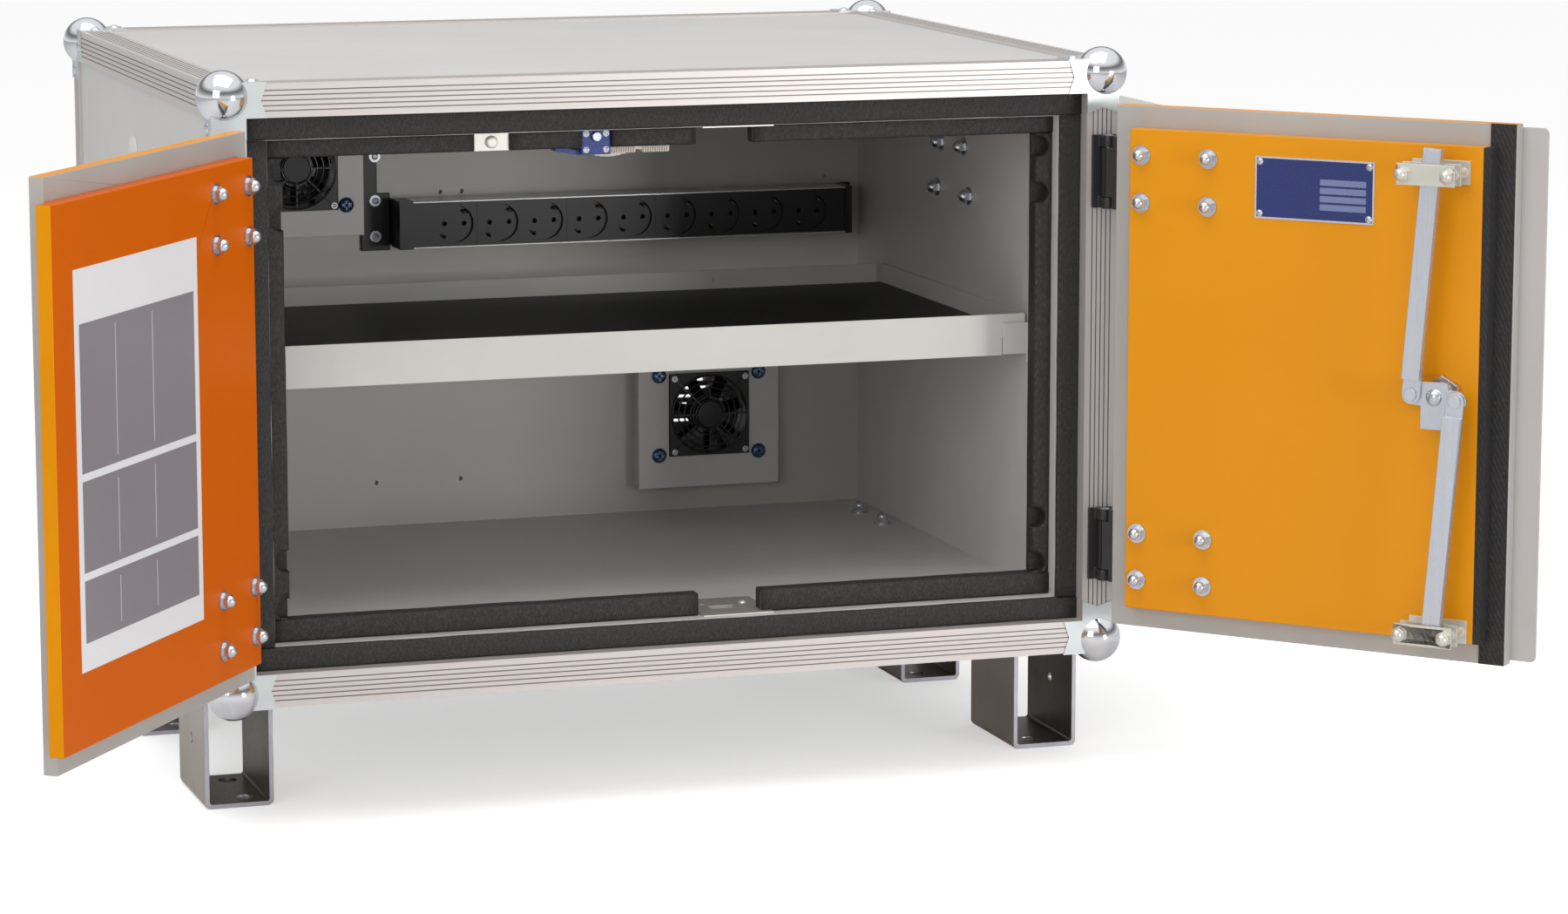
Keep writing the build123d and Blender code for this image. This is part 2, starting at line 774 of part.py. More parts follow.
def strike_at(height, direction):
    """Strike plate that stands on floor or ceiling, with its slot, screw and rivet."""
    face = height + direction[2] * strike_plate
    low, high = sorted((height, face))
    plate = block(strike_left, strike_right, strike_front, strike_back, low, high)
    plate -= block(*slot_sides, *slot_depths, low, high)
    plate += dome((*strike_screw, face), direction, rivet_radius, rivet_dome)
    return plate + dome((*strike_rivet, face), direction, strike_rivet_radius, strike_rivet_dome)


def make_fittings():
    save("strike_bottom", strike_at(floor_height, up))
    save("strike_top", strike_at(ceiling_height, down))

    reach = catch_width / 2
    low = ceiling_height - catch_height
    sheet = catch_plate
    d0, d1 = fitting_depth, catch_back_depth + sheet
    bracket = block(catch_x - reach, catch_x + reach, d0, d0 + sheet, low, ceiling_height)
    bracket += block(catch_x - reach, catch_x + reach, d0, d1, ceiling_height - sheet, ceiling_height)
    bracket += block(catch_x - reach, catch_x + reach, catch_back_depth, d1, low, ceiling_height)
    knob_height = ceiling_height - knob_drop
    bracket -= bar((catch_x, d0, knob_height), backward, knob_radius + slide_clearance, sheet)
    stem_bore = knob_stem_radius + slide_clearance
    bracket -= bar((catch_x, catch_back_depth, knob_height), backward, stem_bore, sheet)
    knob_face = (catch_x, d0 - knob_reach, knob_height)
    knob = bar(knob_face, backward, knob_radius, knob_length)
    knob += bar(onward(knob_face, backward, knob_length), backward, knob_stem_radius, knob_stem)
    save("catch_bracket", bracket)
    save("catch_knob", knob)

    reach = switch_width / 2
    switch = block(switch_x - reach, switch_x + reach, d0, d0 + switch_length,
                   ceiling_height - switch_height, ceiling_height)
    plunger_height = ceiling_height - plunger_drop
    bore = plunger_radius + slide_clearance
    switch -= bar((switch_x, d0, plunger_height), backward, bore, plunger_length + hole_clearance)
    plunger_face = (switch_x, d0 - plunger_reach, plunger_height)
    save("switch_box", switch)
    save("switch_plunger", bar(plunger_face, backward, plunger_radius, plunger_length))


# Electrical box on the right side

def make_side_box():
    d0, d1 = box_front_depth, box_front_depth + box_length
    x0, x1 = skin, skin + box_reach
    wall = box_wall
    box = block(x0, x1, d0, d1, box_bottom, box_top)
    box -= block(x0 + wall, x1, d0 + wall, d1 - wall, box_bottom, box_top - wall)
    for depth, height in box_bolts:
        box -= bar((x0, depth, height), right, box_bolt_radius + hole_clearance, wall)
    gland = ((x0 + x1) / 2, gland_depth, box_bottom)
    plate = block(x0 + wall, x1, d0 + wall, d1 - wall, box_bottom, box_bottom + wall)
    plate += bar(gland, down, gland_radius, gland_length)
    plate -= bar(onward(gland, up, wall), down, gland_bore, gland_length + wall)
    save("side_box", group(box, plate))
    save("side_box_lid", block(x1, x1 + box_lid, d0, d1, box_bottom, box_top))


# Fasteners of the case

def rail_rivets():
    """Domed rivets through the legs of the front top right corner."""
    middle, run = rail_leg / 2, rivet_from_corner
    top, side = case_height + corner_plate, half + corner_plate
    places = (((half - run, middle, top), up), ((half - middle, run, top), up),
              ((side, run, case_height - middle), right), ((side, middle, case_height - run), right))
    return [dome(place, direction, rivet_radius, rivet_dome) for place, direction in places]


def make_case_fasteners():
    rivets = rail_rivets()
    rivets += [mirror(rivet, about=Plane.XY.offset(z_at(case_height / 2))) for rivet in rivets]
    rivets += [mirrored(rivet) for rivet in rivets]
    middle = Plane((0, y_at(case_depth / 2), 0), z_dir=backward)
    rivets += [mirror(rivet, about=middle) for rivet in rivets]

    bolts = []
    head = rail_wall - foot_wall - foot_bolt_head
    for x in (-foot_bolt_x, foot_bolt_x):
        for shift in foot_hole_shifts:
            screw = (x, front_foot_depth + shift, head)
            length = foot_bolt_head + foot_wall + foot_screw_length
            bolts.append(bar(screw, up, foot_bolt_hex, foot_bolt_head, 6)
                         + bar(screw, up, foot_bolt_radius, length))
            bolt = (x, rear_foot_depth + shift, head)
            bolts.append(bar(bolt, up, foot_bolt_hex, foot_bolt_head, 6)
                         + bar(bolt, up, foot_bolt_radius, floor_height - head)
                         + cap_nut((x, rear_foot_depth + shift, floor_height), up))
    for depth, height in box_bolts:
        inside = (mouth_side, depth, height)
        grip = skin + box_wall - mouth_side
        outside = onward(inside, right, grip)
        bolts.append(cap_nut(inside, left) + bar(inside, right, box_bolt_radius, grip)
                     + bar(outside, right, foot_bolt_hex, foot_bolt_head, 6))
    for x, height, _, across, rise in fans:
        for sx in (-across, across):
            for sz in (-rise, rise):
                place = (x + sx, inner_wall_depth - fan_block, height + sz)
                bolts.append(dome(place, forward, cover_screw_radius, cover_screw_dome))
    save("case_fasteners", group(*rivets, *bolts))


# Hinges

def hinge_pin_at(height):
    """Pin with a domed head at each end."""
    low, high = height - hinge_height / 2, height + hinge_height / 2
    pin = bar((hinge_x, -hinge_out, low), up, pin_radius, hinge_height)
    pin += dome((hinge_x, -hinge_out, low), down, pin_head_radius, pin_head)
    return pin + dome((hinge_x, -hinge_out, high), up, pin_head_radius, pin_head)


def fixed_leaf_at(height):
    """Leaf on the rail with a knuckle at each end."""
    low, high = height - hinge_height / 2, height + hinge_height / 2
    inner = hinge_x - fixed_leaf_width / 2 - strap_clearance
    leaf = block(inner, inner + fixed_leaf_width, -fixed_leaf, 0, low, high)
    for start in (low, high - end_knuckle):
        leaf += bar((hinge_x, -hinge_out, start), up, knuckle_radius, end_knuckle)
        leaf += block(hinge_x - knuckle_radius, hinge_x + knuckle_radius, -hinge_out, 0,
                      start, start + end_knuckle)
    return leaf - bar((hinge_x, -hinge_out, low), up, pin_radius + pin_clearance, hinge_height)


def strap_at(height, setback):
    """Door strap: pad under four bolts, arm over the fixed leaf, and the middle knuckle."""
    low, high = height - hinge_height / 2, height + hinge_height / 2
    shoulder = hinge_x - strap_shoulder
    arm_back = strap_front + strap_arm
    pad_end = hinge_x - strap_length
    strap = block(pad_end, shoulder, strap_front, setback, low, high)
    clear = hinge_x - knuckle_radius - strap_clearance
    strap += block(shoulder, clear, strap_front, arm_back, low, high)
    start = low + end_knuckle + knuckle_gap
    length = hinge_height - 2 * (end_knuckle + knuckle_gap)
    strap += block(clear, hinge_x, strap_front, arm_back, start, start + length)
    strap += bar((hinge_x, -hinge_out, start), up, knuckle_radius, length)
    strap -= bar((hinge_x, -hinge_out, low), up, pin_radius + pin_clearance, hinge_height)
    for x in bolt_xs:
        for row in (-bolt_row, bolt_row):
            place = (x, strap_front, height + row)
            strap -= bar(place, backward, door_bolt_radius + hole_clearance, setback - strap_front)
    return strap


def door_bolts(setback):
    """Through bolts of both straps, with a domed head outside and a cap nut inside."""
    face = leaf_face + setback
    bolts = []
    for height in hinge_heights:
        for x in bolt_xs:
            for row in (-bolt_row, bolt_row):
                head = (x, strap_front, height + row)
                bolt = dome(head, forward, door_bolt_head_radius, door_bolt_head)
                bolt += bar(head, backward, door_bolt_radius, face - strap_front)
                bolts.append(bolt + cap_nut((x, face, height + row), backward))
    return bolts


def bolt_bores(setback):
    """Clearance bores of the strap bolts through both leaves of a door."""
    bores = [bar((x, setback, height + row), backward, door_bolt_radius + hole_clearance, leaf_face)
             for height in hinge_heights for x in bolt_xs for row in (-bolt_row, bolt_row)]
    return bores


def make_hinges():
    leaves = [fixed_leaf_at(height) for height in hinge_heights]
    pins = [hinge_pin_at(height) for height in hinge_heights]
    save("fixed_hinge_leaves", group(*leaves, *(mirrored(leaf) for leaf in leaves)))
    save("hinge_pins", group(*pins, *(mirrored(pin) for pin in pins)))
    for name, side, setback in (("right", 1, 0.0), ("left", -1, left_door_setback)):
        straps = [strap_at(height, setback) for height in hinge_heights]
        bolts = door_bolts(setback)
        if side < 0:
            straps = [mirrored(strap) for strap in straps]
            bolts = [mirrored(bolt) for bolt in bolts]
        save(f"{name}_hinge_straps", group(*(swung(strap, side) for strap in straps)))
        save(f"{name}_door_bolts", group(*(swung(bolt, side) for bolt in bolts)))


# Doors

def make_left_door():
    d0 = left_door_setback
    d1 = d0 + outer_leaf
    d2 = d1 + inner_leaf
    outer = block(-leaf_side, -leaf_meeting_gap, d0, d1, leaf_bottom, leaf_top)
    inner = block(-inner_side, lap_reach, d1, d2, inner_bottom, inner_top)
    inner -= block(-leaf_meeting_gap, lap_reach, d1, d1 + lap_setback, inner_bottom, inner_top)
    for bore in bolt_bores(d0):
        outer -= mirrored(bore)
        inner -= mirrored(bore)
    save("left_outer_leaf", swung(outer, -1))
    save("left_inner_leaf", swung(inner, -1))


def make_right_door():
    outer = block(leaf_meeting_gap, leaf_side, 0, outer_leaf, leaf_bottom, leaf_top)
    inner = block(right_inner_edge, inner_side, outer_leaf, leaf_face, inner_bottom, inner_top)
    bores = bolt_bores(0.0)
    bores.append(bar((latch_x, 0, latch_height), backward, barrel_radius + hole_clearance, leaf_face))
    for bore in bores:
        outer -= bore
        inner -= bore
    middle = (astragal_left + astragal_right) / 2
    low, high = leaf_bottom + astragal_inset, leaf_top - astragal_inset
    plate = RectangleRounded(astragal_right - astragal_left, high - low, astragal_corner)
    place = plane_at((middle, 0, (low + high) / 2), forward, right)
    lap_back = outer_leaf + lap_seal
    lap = block(lap_seal_start, right_inner_edge, outer_leaf, lap_back, leaf_bottom, leaf_top)
    edge = block(right_inner_edge - edge_seal, right_inner_edge, lap_back, leaf_face,
                 inner_bottom, inner_top)
    save("right_outer_leaf", swung(outer, 1))
    save("right_inner_leaf", swung(inner, 1))
    save("astragal", swung(extrude(place * plate, astragal_sheet), 1))
    save("right_door_seals", swung(group(lap, edge), 1))


# Latch

def cam_point(angle):
    """X and height of a pivot of the cam, at an angle from +X towards +Z."""
    turn = math.radians(angle)
    return latch_x + cam_radius * math.cos(turn), latch_height + cam_radius * math.sin(turn)


def latch_rod(angle, tilt):
    """Flat rod on one pivot of the cam. tilt turns it about Y from straight up."""
    x, height = cam_point(angle)
    lug = Pos(0, rod_lug / 2, rod_lug_length / 2) * Box(rod_width, rod_lug, rod_lug_length)
    lug += Pos(0, rod_lug / 2, 0) * Rot(90, 0, 0) * Cylinder(rod_width / 2, rod_lug)
    stem = rod_length - rod_lug_length
    middle = rod_lug_length + stem / 2
    rod = lug + Pos(0, rod_thickness / 2, middle) * Box(rod_width, rod_thickness, stem)
    bore = pivot_radius + pivot_clearance
    rod -= Pos(0, rod_lug / 2, 0) * Rot(90, 0, 0) * Cylinder(bore, rod_lug)
    return Location((x, y_at(rod_depth), z_at(height)), (0, tilt, 0)) * rod


def make_latch():
    hub = (latch_x, -barrel_flange, latch_height)
    barrel_end = cam_depth - barrel_clearance
    barrel = bar(hub, backward, barrel_flange_radius, barrel_flange)
    barrel += bar(hub, backward, barrel_radius, barrel_end + barrel_flange)
    barrel += bar((latch_x, leaf_face, latch_height), backward, barrel_nut_hex, barrel_nut, 6)
    bore = spindle_radius + spindle_clearance
    barrel -= bar(hub, backward, bore, barrel_end + barrel_flange)

    hub_front = -barrel_flange - barrel_clearance - handle_hub
    handle = bar((latch_x, hub_front, latch_height), backward, handle_hub_radius, handle_hub)
    wing = plane_at((latch_x, hub_front, latch_height), backward, right)
    grip = SlotOverall(handle_length, handle_width)
    handle += extrude(wing * grip, handle_thickness)
    handle += bar((latch_x, hub_front, latch_height), backward, spindle_radius, cam_depth - hub_front)

    cam_back = cam_depth + cam_plate
    outline = Rot(0, 0, cam_start) * SlotCenterToCenter(2 * cam_radius, 2 * cam_ear)
    outline += Rectangle(cam_hub_width, cam_hub_height)
    outline += Pos(0, -cam_tab_drop / 2) * Rectangle(cam_hub_width, cam_tab_drop)
    cam = extrude(plane_at((latch_x, cam_back, latch_height), forward, right) * outline, cam_plate)
    cam += dome((latch_x, cam_back, latch_height), backward, cam_screw_radius, cam_screw_head)
    head_depth = rod_depth + rod_lug + rod_gap
    for angle in (cam_start, cam_start + half_turn):
        x, height = cam_point(angle)
        cam += bar((x, cam_back, height), backward, pivot_radius, head_depth - cam_back)
        cam += bar((x, head_depth, height), backward, pivot_head_radius, pivot_head)

    save("latch_barrel", swung(barrel, 1))
    save("latch_handle", swung(handle, 1))
    save("latch_cam", swung(cam, 1))
    save("upper_rod", swung(latch_rod(cam_start, -rod_slant), 1))
    save("lower_rod", swung(latch_rod(cam_start + half_turn, half_turn - rod_slant), 1))


def guide_at(x, height):
    """Rod guide: base plate on the door, two studs, a saddle under the rod and a keeper over it."""
    reach = guide_width / 2
    base = guide_base_height / 2
    plate = guide_plate_height / 2
    guide = block(x - reach, x + reach, leaf_face, leaf_face + guide_base, height - base, height + base)
    for depth in (guide_saddle_depth, guide_keeper_depth):
        guide += block(x - reach, x + reach, depth, depth + guide_plate, height - plate, height + plate)
    keeper = guide_keeper_depth + guide_plate
    for shift in (-guide_studs / 2, guide_studs / 2):
        stud = (x + shift, leaf_face, height)
        guide += bar(stud, backward, guide_spacer_radius, keeper - leaf_face)
        nut = (x + shift, keeper, height)
        guide += bar(nut, backward, cap_nut_hex, cap_nut_height, 6)
        crown = onward(nut, backward, cap_nut_height)
        guide += dome(crown, backward, cap_nut_radius, cap_nut_dome)
    return guide


def rod_line(angle, height):
    """X of a rod's middle line at a height. angle names its pivot on the cam."""
    x, pivot_height = cam_point(angle)
    return x - (height - pivot_height) * math.tan(math.radians(rod_slant))


def make_guides():
    height = inner_top - upper_guide_drop
    upper = guide_at(rod_line(cam_start, height) + upper_guide_shift, height)
    height = inner_bottom + lower_guide_rise
    lower = guide_at(rod_line(cam_start + half_turn, height) + lower_guide_shift, height)
    save("rod_guides", swung(group(upper, lower), 1))


make_panels()
make_rails()
make_ball_corners()
make_feet()
make_seals()
make_shelf()
make_socket_strip()
make_fans()
make_fittings()
make_side_box()
make_case_fasteners()
make_hinges()
make_left_door()
make_right_door()
make_latch()
make_guides()
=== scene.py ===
"""Looks of the battery cabinet: insulated case on four feet, with its two doors open.

Sizes are in millimetres unless a name ends in _m. The frame gives every place in metres.
"""
import json
import math

import bmesh
import bpy
from mathutils import Matrix, Vector, noise


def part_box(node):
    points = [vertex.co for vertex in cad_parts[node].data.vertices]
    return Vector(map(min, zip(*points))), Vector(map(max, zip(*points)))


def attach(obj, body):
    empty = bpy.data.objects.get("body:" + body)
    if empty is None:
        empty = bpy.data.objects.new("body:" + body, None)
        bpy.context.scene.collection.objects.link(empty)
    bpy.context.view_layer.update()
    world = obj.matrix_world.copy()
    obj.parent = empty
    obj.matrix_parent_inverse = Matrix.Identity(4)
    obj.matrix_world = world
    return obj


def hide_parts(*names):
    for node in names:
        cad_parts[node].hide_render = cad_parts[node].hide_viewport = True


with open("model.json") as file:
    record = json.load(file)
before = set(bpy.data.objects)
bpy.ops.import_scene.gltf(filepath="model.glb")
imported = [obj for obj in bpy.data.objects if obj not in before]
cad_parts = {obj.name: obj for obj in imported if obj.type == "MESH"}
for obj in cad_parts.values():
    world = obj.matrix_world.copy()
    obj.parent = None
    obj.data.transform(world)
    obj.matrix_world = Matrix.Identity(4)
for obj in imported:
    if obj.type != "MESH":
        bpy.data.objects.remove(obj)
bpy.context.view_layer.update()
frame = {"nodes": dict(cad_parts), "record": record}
nodes = frame["nodes"]

# Studio
# A pale floor that runs to the horizon under a white sky. The camera stands left of the middle,
# a little above the case, as for a catalogue picture taken with a long lens.

camera_place_m = (-1.199, -4.1895, 0.9739)
camera_turn = math.radians(18.34)
camera_tilt = math.radians(9.40)
camera_lens = 111.0
sensor_width = 36.0

camera_data = bpy.data.cameras.new("camera")
camera_data.lens = camera_lens
camera_data.sensor_width = sensor_width
camera_data.sensor_fit = "HORIZONTAL"
camera = bpy.data.objects.new("camera", camera_data)
camera.location = camera_place_m
camera.rotation_euler = (math.pi / 2 - camera_tilt, 0, -camera_turn)
bpy.context.scene.collection.objects.link(camera)
bpy.context.scene.camera = camera
bpy.context.scene.view_settings.view_transform = "Standard"

lamps = (("overhead", (-0.3, -0.6, 2.9), (0, 0, 0.3), 2.6, 45),
         ("front_left", (-3.0, -3.6, 1.9), (0.1, 0, 0.35), 2.2, 38),
         ("front_right", (2.35, -4.3, 0.58), (0, 0, 0.42), 1.0, 56))
for name, lamp_place_m, target, size, power in lamps:
    lamp_data = bpy.data.lights.new(name, "AREA")
    lamp_data.shape = "SQUARE"
    lamp_data.size = size
    lamp_data.energy = power
    lamp = bpy.data.objects.new(name, lamp_data)
    lamp.location = lamp_place_m
    lamp.rotation_euler = (Vector(target) - Vector(lamp_place_m)).to_track_quat("-Z", "Y").to_euler()
    bpy.context.scene.collection.objects.link(lamp)

sky_light = 0.55
sky_in_metal = ((0.0, 0.30), (0.42, 0.62), (0.50, 0.95), (0.60, 0.40), (0.68, 0.16), (0.80, 0.95), (1.0, 1.0))

world = bpy.data.worlds.new("studio")
bpy.context.scene.world = world
world.use_nodes = True
sky = world.node_tree
sky_nodes, sky_links = sky.nodes, sky.links
background = sky_nodes["Background"]
path = sky_nodes.new("ShaderNodeLightPath")
direction = sky_nodes.new("ShaderNodeTexCoord")
split = sky_nodes.new("ShaderNodeSeparateXYZ")
height = sky_nodes.new("ShaderNodeMapRange")
height.inputs["From Min"].default_value = -1
ramp = sky_nodes.new("ShaderNodeValToRGB")
while len(ramp.color_ramp.elements) < len(sky_in_metal):
    ramp.color_ramp.elements.new(0.5)
for stop, (position, level) in zip(ramp.color_ramp.elements, sky_in_metal):
    stop.position = position
    stop.color = (level, level, level, 1)
metal_mix = sky_nodes.new("ShaderNodeMix")
metal_mix.data_type = "RGBA"
metal_mix.inputs["A"].default_value = (sky_light, sky_light, sky_light, 1)
camera_mix = sky_nodes.new("ShaderNodeMix")
camera_mix.data_type = "RGBA"
camera_mix.inputs["B"].default_value = (1, 1, 1, 1)
seen = sky_nodes.new("ShaderNodeMath")
seen.operation = "MAXIMUM"
sky_links.new(direction.outputs["Generated"], split.inputs[0])
sky_links.new(split.outputs["Z"], height.inputs["Value"])
sky_links.new(height.outputs["Result"], ramp.inputs["Fac"])
sky_links.new(path.outputs["Is Glossy Ray"], metal_mix.inputs["Factor"])
sky_links.new(ramp.outputs["Color"], metal_mix.inputs["B"])
sky_links.new(path.outputs["Is Camera Ray"], seen.inputs[0])
sky_links.new(path.outputs["Is Transmission Ray"], seen.inputs[1])
sky_links.new(seen.outputs[0], camera_mix.inputs["Factor"])
sky_links.new(metal_mix.outputs["Result"], camera_mix.inputs["A"])
sky_links.new(camera_mix.outputs["Result"], background.inputs["Color"])

floor_size_m = 30.0
floor_glow = 0.46

floor_mesh = bpy.data.meshes.new("floor")
reach = floor_size_m / 2
floor_mesh.from_pydata([(-reach, -reach, 0), (reach, -reach, 0), (reach, reach, 0), (-reach, reach, 0)],
                       [], [(0, 1, 2, 3)])
floor = bpy.data.objects.new("floor", floor_mesh)
bpy.context.scene.collection.objects.link(floor)
paper = bpy.data.materials.new("white_paper")
paper.use_nodes = True
paper_nodes, paper_links = paper.node_tree.nodes, paper.node_tree.links
paper_shader = paper_nodes["Principled BSDF"]
paper_shader.inputs["Base Color"].default_value = (0.86, 0.86, 0.86, 1)
paper_shader.inputs["Roughness"].default_value = 0.9
seen_directly = paper_nodes.new("ShaderNodeLightPath")
strength = paper_nodes.new("ShaderNodeMath")
strength.operation = "MULTIPLY"
strength.inputs[1].default_value = floor_glow
glow = paper_nodes.new("ShaderNodeEmission")
both = paper_nodes.new("ShaderNodeAddShader")
paper_links.new(seen_directly.outputs["Is Camera Ray"], strength.inputs[0])
paper_links.new(strength.outputs[0], glow.inputs["Strength"])
paper_links.new(paper_shader.outputs[0], both.inputs[0])
paper_links.new(glow.outputs[0], both.inputs[1])
paper_links.new(both.outputs[0], paper_nodes["Material Output"].inputs["Surface"])
floor_mesh.materials.append(paper)

# Case panels
# Insulating boards with a light grey laminate skin on both faces, sawn to size and slid into the
# edge rails. A pale plastic cap closes the cable hole in the left side.

cap_place = (-398.0, 352.0, 435.0)
cap_radius = 15.0
cap_rise = 5.0
case_front_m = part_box("front_rail_top")[0][1]
case_floor_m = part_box("front_rail_bottom")[0][2]


def place(x, depth, height):
    """Point in metres, from millimetres beside the middle, behind the case front and above its underside."""
    return Vector((x / 1000, case_front_m + depth / 1000, case_floor_m + height / 1000))


def linear(red, green, blue):
    """Colour as it looks on screen, 0 to 255, as the shaders want it."""
    levels = [level / 255 for level in (red, green, blue)]
    return (*[v / 12.92 if v <= 0.04045 else ((v + 0.055) / 1.055) ** 2.4 for v in levels], 1)


def shade_group(name, inputs, outputs):
    """Empty shader node group with its sockets."""
    group = bpy.data.node_groups.new(name, "ShaderNodeTree")
    for label, kind, value in inputs:
        socket = group.interface.new_socket(label, in_out="INPUT", socket_type=kind)
        if value is not None:
            socket.default_value = value
    for label, kind in outputs:
        group.interface.new_socket(label, in_out="OUTPUT", socket_type=kind)
    return group, group.nodes.new("NodeGroupInput"), group.nodes.new("NodeGroupOutput")


def add_node(tree, kind, settings=(), values=(), feeds=()):
    """New node with its settings, socket values and incoming links."""
    node = tree.nodes.new(kind)
    for label, value in dict(settings).items():
        setattr(node, label, value)
    for label, value in dict(values).items():
        node.inputs[label].default_value = value
    for label, source in dict(feeds).items():
        tree.links.new(source, node.inputs[label])
    return node


def make_mottle_group():
    """Cloudy colour change, uneven gloss and a fine surface grain."""
    color, number, vector = "NodeSocketColor", "NodeSocketFloat", "NodeSocketVector"
    group, given, result = shade_group(
        "mottle",
        (("Vector", vector, None), ("Color", color, (0.5, 0.5, 0.5, 1)),
         ("Second Color", color, (0.4, 0.4, 0.4, 1)), ("Cloud Scale", number, 6.0),
         ("Grain Scale", number, 900.0), ("Grain", number, 0.1),
         ("Gloss Low", number, 0.3), ("Gloss High", number, 0.4)),
        (("Color", color), ("Roughness", number), ("Normal", vector)))
    at = given.outputs
    cloud = add_node(group, "ShaderNodeTexNoise", values={"Detail": 4.0, "Roughness": 0.6},
                     feeds={"Vector": at["Vector"], "Scale": at["Cloud Scale"]})
    grain = add_node(group, "ShaderNodeTexNoise", values={"Detail": 2.0},
                     feeds={"Vector": at["Vector"], "Scale": at["Grain Scale"]})
    spread = add_node(group, "ShaderNodeMapRange", values={"From Min": 0.32, "From Max": 0.68},
                      feeds={"Value": cloud.outputs["Fac"]})
    tint = add_node(group, "ShaderNodeMix", {"data_type": "RGBA"},
                    feeds={"Factor": spread.outputs["Result"], "A": at["Color"], "B": at["Second Color"]})
    gloss = add_node(group, "ShaderNodeMapRange", values={"From Min": 0.3, "From Max": 0.7},
                     feeds={"Value": grain.outputs["Fac"], "To Min": at["Gloss Low"],
                            "To Max": at["Gloss High"]})
    bump = add_node(group, "ShaderNodeBump", values={"Distance": 0.0002},
                    feeds={"Strength": at["Grain"], "Height": grain.outputs["Fac"]})
    group.links.new(tint.outputs["Result"], result.inputs["Color"])
    group.links.new(gloss.outputs["Result"], result.inputs["Roughness"])
    group.links.new(bump.outputs["Normal"], result.inputs["Normal"])
    return group


mottle = make_mottle_group()


def new_finish(name, metallic=0.0, stretch=(1, 1, 1)):
    """Empty material, its shader, and Object coordinates stretched along the grain."""
    material = bpy.data.materials.new(name)
    material.use_nodes = True
    tree = material.node_tree
    shader = tree.nodes["Principled BSDF"]
    shader.inputs["Metallic"].default_value = metallic
    at = add_node(tree, "ShaderNodeTexCoord")
    along = add_node(tree, "ShaderNodeMapping", values={"Scale": stretch},
                     feeds={"Vector": at.outputs["Object"]})
    return material, tree, shader, along.outputs["Vector"]


def feed_shader(tree, look, shader):
    """Sends a look's color, roughness and normal to the shader."""
    for label, socket in (("Color", "Base Color"), ("Roughness", "Roughness"), ("Normal", "Normal")):
        tree.links.new(look.outputs[label], shader.inputs[socket])


def mottled(name, color, second, gloss, cloud=6.0, grain_scale=900.0, grain=0.1, metallic=0.0,
            stretch=(1, 1, 1), gloss_level=0.5):
    """Material with the mottle group, its two colors 0 to 255. gloss is its lowest and highest roughness."""
    material, tree, shader, vector = new_finish(name, metallic, stretch)
    shader.inputs["Specular IOR Level"].default_value = gloss_level
    low, high = gloss
    look = add_node(tree, "ShaderNodeGroup", {"node_tree": mottle},
                    {"Color": linear(*color), "Second Color": linear(*second), "Cloud Scale": cloud,
                     "Grain Scale": grain_scale, "Grain": grain, "Gloss Low": low, "Gloss High": high},
                    {"Vector": vector})
    feed_shader(tree, look, shader)
    return material


def dress(material, *names):
    """Gives CAD nodes a material."""
    for name in names:
        slots = nodes[name].data.materials
        slots.clear()
        slots.append(material)


def new_piece(name, mesh, body, materials, replaced=()):
    """Object from a finished bmesh, riding on a body."""
    data = bpy.data.meshes.new(name)
    mesh.to_mesh(data)
    mesh.free()
    for material in materials:
        data.materials.append(material)
    piece = bpy.data.objects.new(name, data)
    bpy.context.scene.collection.objects.link(piece)
    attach(piece, body)
    if replaced:
        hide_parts(*replaced)
    return piece


def add_dome(mesh, centre, facing, radius, rise, sides=24, rings=6):
    """Closed low dome on a point, sizes in millimetres."""
    turn = Vector((0, 0, 1)).rotation_difference(Vector(facing)).to_matrix()
    rows = []
    for ring in range(rings):
        lean = math.pi / 2 * ring / rings
        reach, lift = radius * math.cos(lean) / 1000, rise * math.sin(lean) / 1000
        rows.append([mesh.verts.new(centre + turn @ Vector((reach * math.cos(a), reach * math.sin(a), lift)))
                     for a in (2 * math.pi * side / sides for side in range(sides))])
    tip = mesh.verts.new(centre + turn @ Vector((0, 0, rise / 1000)))
    faces = [mesh.faces.new(list(reversed(rows[0])))]
    for lower, upper in zip(rows, rows[1:]):
        for i in range(sides):
            j = (i + 1) % sides
            faces.append(mesh.faces.new((lower[i], lower[j], upper[j], upper[i])))
    for i in range(sides):
        faces.append(mesh.faces.new((rows[-1][i], rows[-1][(i + 1) % sides], tip)))
    for face in faces[1:]:
        face.smooth = True


laminate = mottled("grey_laminate", (206, 204, 203), (199, 198, 197), (0.36, 0.46))
inner_laminate = mottled("inner_laminate", (190, 188, 182), (185, 183, 178), (0.38, 0.5))
dress(laminate, "panel_top", "panel_left", "panel_right", "panel_rear", "panel_bottom")
dress(inner_laminate, "inner_rear_wall")

cap_plastic = mottled("cap_plastic", (212, 212, 208), (205, 205, 201), (0.3, 0.4))
cap_mesh = bmesh.new()
add_dome(cap_mesh, place(*cap_place), (-1, 0, 0), cap_radius, cap_rise)
new_piece("side_cap", cap_mesh, "case", [cap_plastic])

# Edge rails
# Drawn aluminium angle with five fine grooves on each face, satin anodised. The die leaves faint
# streaks along the rail, and the groove faces are painted much darker than the faces, as painted shade.

streak = 0.015
groove_across_m = 0.0011
sharp_turn = math.radians(30)
flat_turn = math.radians(0.4)
merge_reach_m = 2e-6

